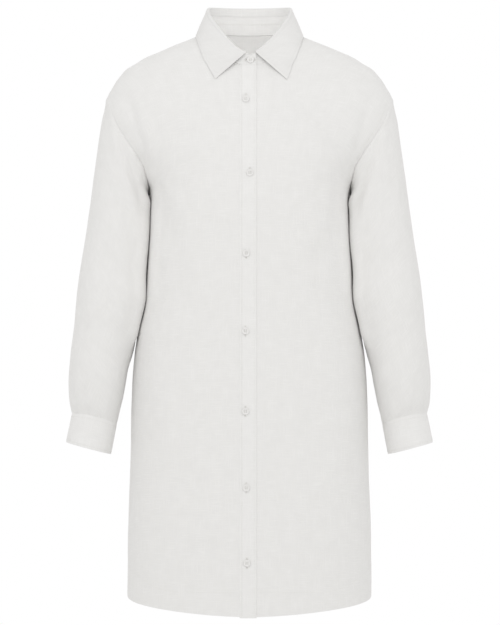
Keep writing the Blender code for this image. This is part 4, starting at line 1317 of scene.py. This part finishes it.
def body_panel(name, ways, heights, edges, shift, behind=False, hemmed=True, grain=GRAIN):
    """A panel of the body on the body's surface, closer woven in places than its rows."""
    coarse, _ = body_surface(back_turn(ways) if behind else ways, heights)
    rows = fine_places(coarse, grain)
    columns = fine_places(np.swapaxes(coarse, 0, 1), grain)
    ways = read_at(read_at(ways, rows).T, columns).T
    heights = read_at(read_at(heights, rows).T, columns).T
    points, normal = body_surface(back_turn(ways) if behind else ways, heights)
    points = sink_edges(points, normal, edges)
    walls = None
    if hemmed:
        walls = np.where(rows <= 1, HEM, SINGLE)[:, None] + np.zeros(len(columns))
    return cloth(name, points, normal, SINGLE, LINEN, grain_shift=shift, walls=walls)


def make_fronts():
    for name, side, steps, flat, area, shift in (
            ("right_front_cloth", -1, RIGHT_NECK_STEPS, (0.29, 0.94), 0.232, (0.31, 0.11)),
            ("left_front_cloth", 1, LEFT_NECK_STEPS, (0.31, 0.94), 0.245, (1.27, 0.73))):
        turns, heights = front_rows(side, steps)
        piece = body_panel(name, turns, heights, ("last_row", "last_column"), shift)
        node = "front_right" if side < 0 else "front_left"
        wear(piece, node)


def make_back():
    ways, heights = back_rows()
    piece = body_panel("back_cloth", ways, heights, ("last_row", "first_column", "last_column"),
                       (2.4, 0.4), behind=True)
    wear(piece, "back")


def make_yoke():
    ways, heights = yoke_rows()
    piece = body_panel("yoke_cloth", ways, heights,
                       ("first_row", "last_row", "first_column", "last_column"), (3.1, 1.9),
                       behind=True, hemmed=False)
    wear(piece, "yoke")


def placket_places(xs, inset=0.0):
    """Heights up the placket, and the turn of each x there."""
    heights = [row["centre"] for row in PANEL_ROWS]
    heights = [HEM_CENTRE - PLACKET_DROP + inset, HEM_BAND_CENTRE] + heights
    heights += list(edge_rows(RIGHT_NECK_STEPS))
    grid = [[height] * len(xs) for height in heights]
    grid.append([neck_height(x) - PLACKET_TOP_GAP for x in xs])
    grid = np.array(grid, dtype=float)
    turns = turn_at(np.tile(xs, len(grid)), grid.ravel()).reshape(grid.shape)
    return turns, grid


def make_placket():
    """The strip down the front, on the right front's own surface and moved out."""
    xs = np.concatenate((np.linspace(PLACKET_RIGHT, PLACKET_RIGHT + 4, 6),
                         np.linspace(PLACKET_RIGHT + 6, PLACKET_LEFT - 3, 9),
                         np.linspace(PLACKET_LEFT - 2, PLACKET_LEFT, 4)))
    turns, heights = placket_places(xs)
    coarse, _ = body_surface(turns, heights)
    rows = fine_places(coarse, PLACKET_GRAIN)
    turns, heights = read_at(turns, rows), read_at(heights, rows)
    points, normal = body_surface(turns, heights)
    points = points + normal * PLACKET_LIFT
    across = lengths(points, 1)
    right, left = PLACKET_EDGES["right"], PLACKET_EDGES["left"]
    walls = DOUBLE - right["thin"] * np.exp(-(across / right["width"]) ** 2)
    walls -= left["thin"] * np.exp(-((across[:, -1:] - across) / left["width"]) ** 2)
    points = sink_edges(points, normal, ("first_column",), right["sink"], right["width"])
    points = sink_edges(points, normal, ("last_column", "first_row"), left["sink"], left["width"])
    piece = cloth("placket_cloth", points, normal, DOUBLE, DOUBLED, grain_shift=(4.2, 0.2),
                  walls=walls)
    wear(piece, "front_placket")


def make_stand():
    left_end = NECK_SHOULDER + LEFT_NECK_STEPS * NECK_STEP
    angle = np.concatenate((np.arange(STAND_RIGHT_END, left_end, COLLAR_STEP), [left_end]))
    low, top, out = stand_edges(angle)
    rows = []
    for share in np.linspace(0, 1, 31):
        hollow = STAND_HOLLOW * math.sin(math.pi * share)
        apart = share - STAND_GROOVE["share"]
        groove = STAND_GROOVE["depth"] * math.exp(-(apart / STAND_GROOVE["width"]) ** 2)
        rows.append(low + (top - low) * share - out * (hollow - groove))
    points = np.array(rows)
    normal = np.array([out] * len(rows))
    points = sink_edges(points, normal, ("first_row",), depth=0.4, width=1.2)
    piece = cloth("stand_cloth", points, normal, DOUBLE, DOUBLED, grain_shift=(5.3, 0.7))
    wear(piece, "collar_stand")


def make_leaf():
    points, normal = leaf_grid()
    points = sink_edges(points, normal, ("last_row", "first_column", "last_column"), depth=0.35, width=1.3)
    # The leaf's linen is darkened as painted shade, against the light that falls on the collar from above.
    piece = cloth("collar_cloth", points, normal, LEAF, COLLAR_LINEN_PAINTED_SHADE, grain_shift=(6.1, 0.3))
    wear(piece, "collar_leaf")


def tucked(points, normal):
    """The cloth with its seam allowance, which goes in under the edge that it is sewn to."""
    away = unit(points[1] - points[0])
    rows = [points[0] - away * row["back"] - normal[0] * row["down"] for row in ALLOWANCE]
    beside = points[:1] + (points[1:2] - points[:1]) * EDGE_SUPPORT
    points = np.concatenate((np.array(rows), points[:1], beside, points[1:]))
    return points, np.concatenate((np.repeat(normal[:1], len(rows) + 1, axis=0), normal))


def make_sleeves():
    for name, side, shift in (("right", -1, (7.7, 0.1)), ("left", 1, (8.9, 0.6))):
        points, normal = sleeve_grid(side)
        points, normal = closed(points), closed(normal)
        beside = lengths(points, 0)
        apart = (beside - SEAM_RIDGE["from_edge"]) / SEAM_RIDGE["width"]
        ridge = SEAM_RIDGE["height"] * np.exp(-apart ** 2)
        points = points + normal * ridge[..., None]
        points, normal = tucked(points, normal)
        piece = cloth(f"{name}_sleeve_cloth", points, normal, SINGLE, LINEN, tube=True,
                      grain_shift=shift)
        wear(piece, f"sleeve_{name}")
        make_slit(name, side, shift)
        make_cuff(name, side, shift)


def make_slit(name, side, shift):
    """The strip beside the sleeve's opening, on the sleeve's own cloth."""
    points, normal = sleeve_grid(side)
    rows = slice(SLIT_FIRST_ROW * PARTS, None)
    columns = slice(SLIT_COLUMNS[0] * PARTS, SLIT_COLUMNS[1] * PARTS + 1)
    points, normal = points[rows, columns], normal[rows, columns]
    points = points + normal * (LAP + SOLID_SINGLE)
    points = sink_edges(points, normal, ("first_column", "last_column", "first_row"), depth=0.4, width=1.0)
    piece = cloth(f"{name}_slit_cloth", points, normal, SINGLE, DOUBLED, grain_shift=shift)
    wear(piece, f"sleeve_placket_{name}")


def make_cuff(name, side, shift):
    around = np.linspace(CUFF_START, CUFF_START + 2 + CUFF_OVERLAP, 105)
    points, normal = cuff_grid(side, around, np.linspace(0, 1, 14))
    points[0] += unit(points[0] - points[1]) * CUFF_REACH
    points = sink_edges(points, normal, ("first_row",), depth=0.3, width=1.4)
    points = sink_edges(points, normal, ("last_row", "first_column", "last_column"), depth=0.4, width=1.2)
    piece = cloth(f"{name}_cuff_cloth", points, normal, DOUBLE, DOUBLED,
                  grain_shift=(shift[0] + 0.4, shift[1]))
    wear(piece, f"cuff_{name}")


make_fronts()
make_back()
make_yoke()
make_placket()
make_stand()
make_leaf()
make_sleeves()

# Buttons

BUTTON_PROFILE = (
    {"radius": 4.6, "height": 0.0},
    {"radius": 5.45, "height": 0.35},
    {"radius": 5.75, "height": 1.0},
    {"radius": 5.6, "height": 1.7},
    {"radius": 5.1, "height": 2.15},
    {"radius": 4.5, "height": 2.15},
    {"radius": 3.8, "height": 1.65},
    {"radius": 3.2, "height": 1.55},
)
BUTTON_SEAT = 0.3
BUTTON_HOLE = {"radius": 0.72, "apart": 1.35, "depth": 1.0}
BUTTON_THREAD = {"beside": 0.24, "over": 1.72, "spare": 1.3, "width": 0.5}
BUTTONHOLE = {"length": 14.5, "step": 0.5, "from_slit": 0.75, "bar": 1.3, "end_bar": 3.0}


def ring_of(mesh, radius, height, middle=(0, 0), segments=32):
    """A ring of edges, in millimetres."""
    made = bmesh.ops.create_circle(mesh, segments=segments, radius=radius * MM)
    verts = made["verts"]
    bmesh.ops.translate(mesh, verts=verts, vec=(middle[0] * MM, middle[1] * MM, height * MM))
    return list({edge for vert in verts for edge in vert.link_edges})


def button_mesh():
    """A round shell button with a raised rim and four holes."""
    mesh = bmesh.new()
    rings = [ring_of(mesh, row["radius"], row["height"]) for row in BUTTON_PROFILE]
    bmesh.ops.contextual_create(mesh, geom=rings[0])
    for lower, upper in zip(rings, rings[1:]):
        bmesh.ops.bridge_loops(mesh, edges=lower + upper)
    holes = []
    apart = BUTTON_HOLE["apart"]
    for x, y in ((-apart, -apart), (-apart, apart), (apart, -apart), (apart, apart)):
        holes.append(ring_of(mesh, BUTTON_HOLE["radius"], BUTTON_PROFILE[-1]["height"], (x, y), 12))
    bmesh.ops.triangle_fill(mesh, use_beauty=True, edges=rings[-1] + sum(holes, []))
    for hole in holes:
        made = bmesh.ops.extrude_edge_only(mesh, edges=hole)
        verts = [item for item in made["geom"] if isinstance(item, bmesh.types.BMVert)]
        bmesh.ops.translate(mesh, verts=verts, vec=(0, 0, -BUTTON_HOLE["depth"] * MM))
        floor = list({edge for vert in verts for edge in vert.link_edges
                      if edge.other_vert(vert) in verts})
        bmesh.ops.contextual_create(mesh, geom=floor)
    bmesh.ops.recalc_face_normals(mesh, faces=mesh.faces)
    return mesh


def add_bead(mesh, centre, along, up, length, width, height):
    """A small rounded bead of thread, in millimetres."""
    along = Vector(along).normalized()
    up = Vector(up)
    across = up.cross(along).normalized()
    up = along.cross(across)
    turn = Matrix((along * length / 2, across * width / 2, up * height / 2)).transposed().to_4x4()
    place = Matrix.Translation(Vector(centre) * MM) @ Matrix.Scale(MM, 4) @ turn
    bmesh.ops.create_uvsphere(mesh, u_segments=6, v_segments=4, radius=1,
                              matrix=place @ Matrix.Rotation(math.pi / 2, 4, "Y"))


def set_button(name, seat, normal, upright, hole_way=None):
    """A button on its seat, sewn on with two bars of thread, over its stitched buttonhole."""
    normal = Vector(normal).normalized()
    across = Vector(upright).cross(normal).normalized()
    upright = normal.cross(across)
    turn = Matrix((across, upright, normal)).transposed().to_4x4()
    place = Matrix.Translation((Vector(seat) + normal * BUTTON_SEAT) * MM) @ turn
    disc = button_mesh()
    bmesh.ops.transform(disc, matrix=place, verts=disc.verts)
    button = finished(f"{name}_shell", disc, SHELL, smooth=35)
    wear(button, name)
    sewn = bmesh.new()
    apart = BUTTON_HOLE["apart"]
    for x in (-apart, apart):
        for shift in (-BUTTON_THREAD["beside"], BUTTON_THREAD["beside"]):
            over = BUTTON_SEAT + BUTTON_THREAD["over"]
            middle = Vector(seat) + across * (x + shift) + normal * over
            add_bead(sewn, middle, upright, normal, 2 * apart + BUTTON_THREAD["spare"],
                     BUTTON_THREAD["width"], BUTTON_THREAD["width"])
    if hole_way is not None:
        stitch_buttonhole(sewn, Vector(seat), Vector(hole_way), normal)
    sewing = finished(f"{name}_thread", sewn, THREAD, smooth=180)
    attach(sewing, "root")


def stitch_buttonhole(mesh, middle, along, normal):
    """Close bars of thread down both sides of the slit, and a wider bar across each end."""
    along = along.normalized()
    across = normal.cross(along).normalized()
    steps = int(BUTTONHOLE["length"] / BUTTONHOLE["step"])
    for step in range(steps + 1):
        way = (step / steps - 0.5) * BUTTONHOLE["length"]
        for side in (-BUTTONHOLE["from_slit"], BUTTONHOLE["from_slit"]):
            add_bead(mesh, middle + along * way + across * side + normal * 0.12, across, normal,
                     BUTTONHOLE["bar"], 0.5, 0.42)
    for end in (-1, 1):
        for step in range(3):
            way = end * (BUTTONHOLE["length"] / 2 + 0.2 + 0.45 * step)
            add_bead(mesh, middle + along * way + normal * 0.16, across, normal,
                     BUTTONHOLE["end_bar"], 0.5, 0.5)


def make_buttons():
    up = (0, 0, 1)
    for number, row in enumerate(FRONT_BUTTONS, 1):
        turn = turn_at(row["x"], row["height"])[0]
        point, normal = body_surface(turn, row["height"])
        set_button(f"front_button_{number}", point + normal * PLACKET_LIFT, normal, up, up)
    angle = np.array([-181.0])
    low, top, out = stand_edges(angle)
    slope = unit(top[0] - low[0])
    normal = unit(out[0] - slope * (out[0] @ slope))
    seat = low[0] + (top[0] - low[0]) * 0.5 - normal * STAND_HOLLOW * 0.6
    set_button("stand_button", seat, normal, slope, (1, 0, 0))
    for name, side in (("right", -1), ("left", 1)):
        around = np.array([0.95, 1, 1.05]) * CUFF_OVERLAP / 2 + CUFF_START + 2
        points, normals = cuff_grid(side, around, (0, 0.5, 1))
        set_button(f"cuff_button_{name}", points[1, 1], normals[1, 1],
                   points[0, 1] - points[2, 1], points[1, 2] - points[1, 0])


make_buttons()

# Rows of stitches

STITCH = {"length": 2.5, "gap": 0.8, "width": 0.42, "height": 0.34}
STITCHED_IN = {       # how far the rows lie from the edges and seams that they follow
    "placket": 3.5,
    "hem": 1.5,
    "armhole": 6.5,
    "yoke": 2.2,
    "collar": 5.0,
}
VENT_STITCHES = 0.966   # the turn beside the vent
SHOULDER_STITCHES = 0.018   # from the shoulder seam, as a turn


def even_steps(points, step):
    """Places along a line of points, a step apart, as shares between its points."""
    run = np.concatenate(([0], np.cumsum(np.linalg.norm(np.diff(points, axis=0), axis=1))))
    wanted = np.arange(step / 2, run[-1], step)
    return [np.interp(wanted, run, points[:, axis]) for axis in range(3)], wanted, run


def stitch_row(points, normals):
    """A mesh with a row of stitches along a line on the cloth."""
    step = STITCH["length"] + STITCH["gap"]
    places, wanted, run = even_steps(points, step)
    places = np.stack(places, axis=-1)
    ups = np.stack([np.interp(wanted, run, normals[:, axis]) for axis in range(3)], axis=-1)
    ways = np.gradient(places, axis=0)
    row = bmesh.new()
    for place, up, way in zip(places, ups, ways):
        add_bead(row, place + up * 0.08, way, up, STITCH["length"], STITCH["width"],
                 STITCH["height"])
    return row


def sew(name, lines):
    """One piece from several rows of stitches."""
    sewn = bmesh.new()
    holder = bpy.data.meshes.new("row")
    for line in lines:
        row = stitch_row(*line)
        row.to_mesh(holder)
        row.free()
        sewn.from_mesh(holder)
    bpy.data.meshes.remove(holder)
    piece = finished(name, sewn, THREAD, smooth=180)
    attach(piece, "root")


def on_body(turns, heights, lift=0.0):
    points, normal = body_surface(np.asarray(turns, float), np.asarray(heights, float))
    return points + normal * lift, normal


def body_lines():
    lines = []
    lift = PLACKET_LIFT
    for x in (PLACKET_RIGHT + STITCHED_IN["placket"], PLACKET_LEFT - STITCHED_IN["placket"]):
        turns, heights = placket_places(np.array([x]), inset=3.0)
        rows = np.linspace(0, len(heights) - 1, 400)
        lines.append(on_body(read_at(turns[:, 0], rows), read_at(heights[:, 0], rows), lift))
    for side in (-1, 1):
        share = np.linspace(0.075 if side < 0 else 0.06, 0.975, 160)
        lines.append(on_body(side * share, band_height(share) - STITCHED_IN["hem"]))
        share = np.linspace(0, 0.975, 160)
        lines.append(on_body(side * (2 - share), band_height(share) - STITCHED_IN["hem"]))
        low = np.linspace(HEM_SIDE + 2, HEM_BAND_SIDE - 3, 20)
        for turn in (VENT_STITCHES, 2 - VENT_STITCHES):
            lines.append(on_body(np.full(20, side * turn), low))
        heights = np.array(ARMHOLE_HEIGHTS[1:-1], dtype=float)
        away = STITCHED_IN["armhole"]
        places = np.linspace(0, len(heights) - 1, 120)
        front = read_at(turn_at(ARMHOLE.read("front", heights) - away, heights), places)
        behind = read_at(turn_at(ARMHOLE.read("back", heights) - away, heights, back=True), places)
        lines.append(on_body(side * front, read_at(heights, places)))
        lines.append(on_body(side * behind, read_at(heights, places)))
    share = np.linspace(-0.985, 0.985, 240)
    way = share * back_reach(YOKE_SIDE)
    lines.append(on_body(back_turn(way), yoke_seam(share) + STITCHED_IN["yoke"]))
    for side in (-1, 1):
        share = np.linspace(0.02, 0.975, 120)
        height = bowed(NECK_HEIGHT, SHOULDER_HEIGHT, share)
        lines.append(on_body(side * np.full(120, SHOULDER_LINE + SHOULDER_STITCHES), height))
    return lines


def collar_lines():
    points, normal = leaf_grid()
    lines = []
    apart = lengths(points, 0)
    inset = STITCHED_IN["collar"]
    edge, edge_normal = [], []
    for column in range(points.shape[1]):
        run = apart[:, column]
        wanted = run[-1] - inset
        edge.append([np.interp(wanted, run, points[:, column, axis]) for axis in range(3)])
        edge_normal.append([np.interp(wanted, run, normal[:, column, axis]) for axis in range(3)])
    edge, edge_normal = np.array(edge), np.array(edge_normal)
    run = lengths(edge[None], 1)[0]
    keep = (run > inset) & (run < run[-1] - inset)
    lines.append((edge[keep], edge_normal[keep]))
    across = lengths(points, 1)
    for end in (0, -1):
        side = []
        side_normal = []
        for row in range(18, points.shape[0]):
            run = across[row]
            wanted = inset if end == 0 else run[-1] - inset
            if apart[row, end] > apart[-1, end] - inset * 0.9:
                continue
            side.append([np.interp(wanted, run, points[row, :, axis]) for axis in range(3)])
            side_normal.append([np.interp(wanted, run, normal[row, :, axis]) for axis in range(3)])
        lines.append((np.array(side), np.array(side_normal)))
    angle = np.arange(-150, 150, COLLAR_STEP)
    low, top, out = stand_edges(angle)
    for share in (0.1, STAND_GROOVE["share"]):
        inner = low + (top - low) * share - out * (DOUBLE + STAND_HOLLOW * math.sin(math.pi * share))
        lines.append((inner, -out))
    return lines


def sleeve_lines():
    lines = []
    for side in (-1, 1):
        around = np.linspace(CUFF_START + 0.03, CUFF_START + 2 + CUFF_OVERLAP - 0.03, 160)
        for down in (0.09, 0.91):
            points, normal = cuff_grid(side, around, (down - 0.02, down, down + 0.02))
            lines.append((points[1], normal[1]))
        ends = CUFF_START + 2 + CUFF_OVERLAP - 0.035
        points, normal = cuff_grid(side, np.array([ends - 0.01, ends, ends + 0.01]),
                                   np.linspace(0.1, 0.9, 20))
        lines.append((points[:, 1], normal[:, 1]))
        points, normal = sleeve_grid(side)
        for column in (SLIT_COLUMNS[0] * PARTS + 1, SLIT_COLUMNS[1] * PARTS - 1):
            strip = points[SLIT_FIRST_ROW * PARTS + 1:-1, column]
            out = normal[SLIT_FIRST_ROW * PARTS + 1:-1, column]
            lines.append((strip + out * (LAP + SOLID_SINGLE), out))
    return lines


sew("body_stitches", body_lines())
sew("collar_stitches", collar_lines())
sew("sleeve_stitches", sleeve_lines())
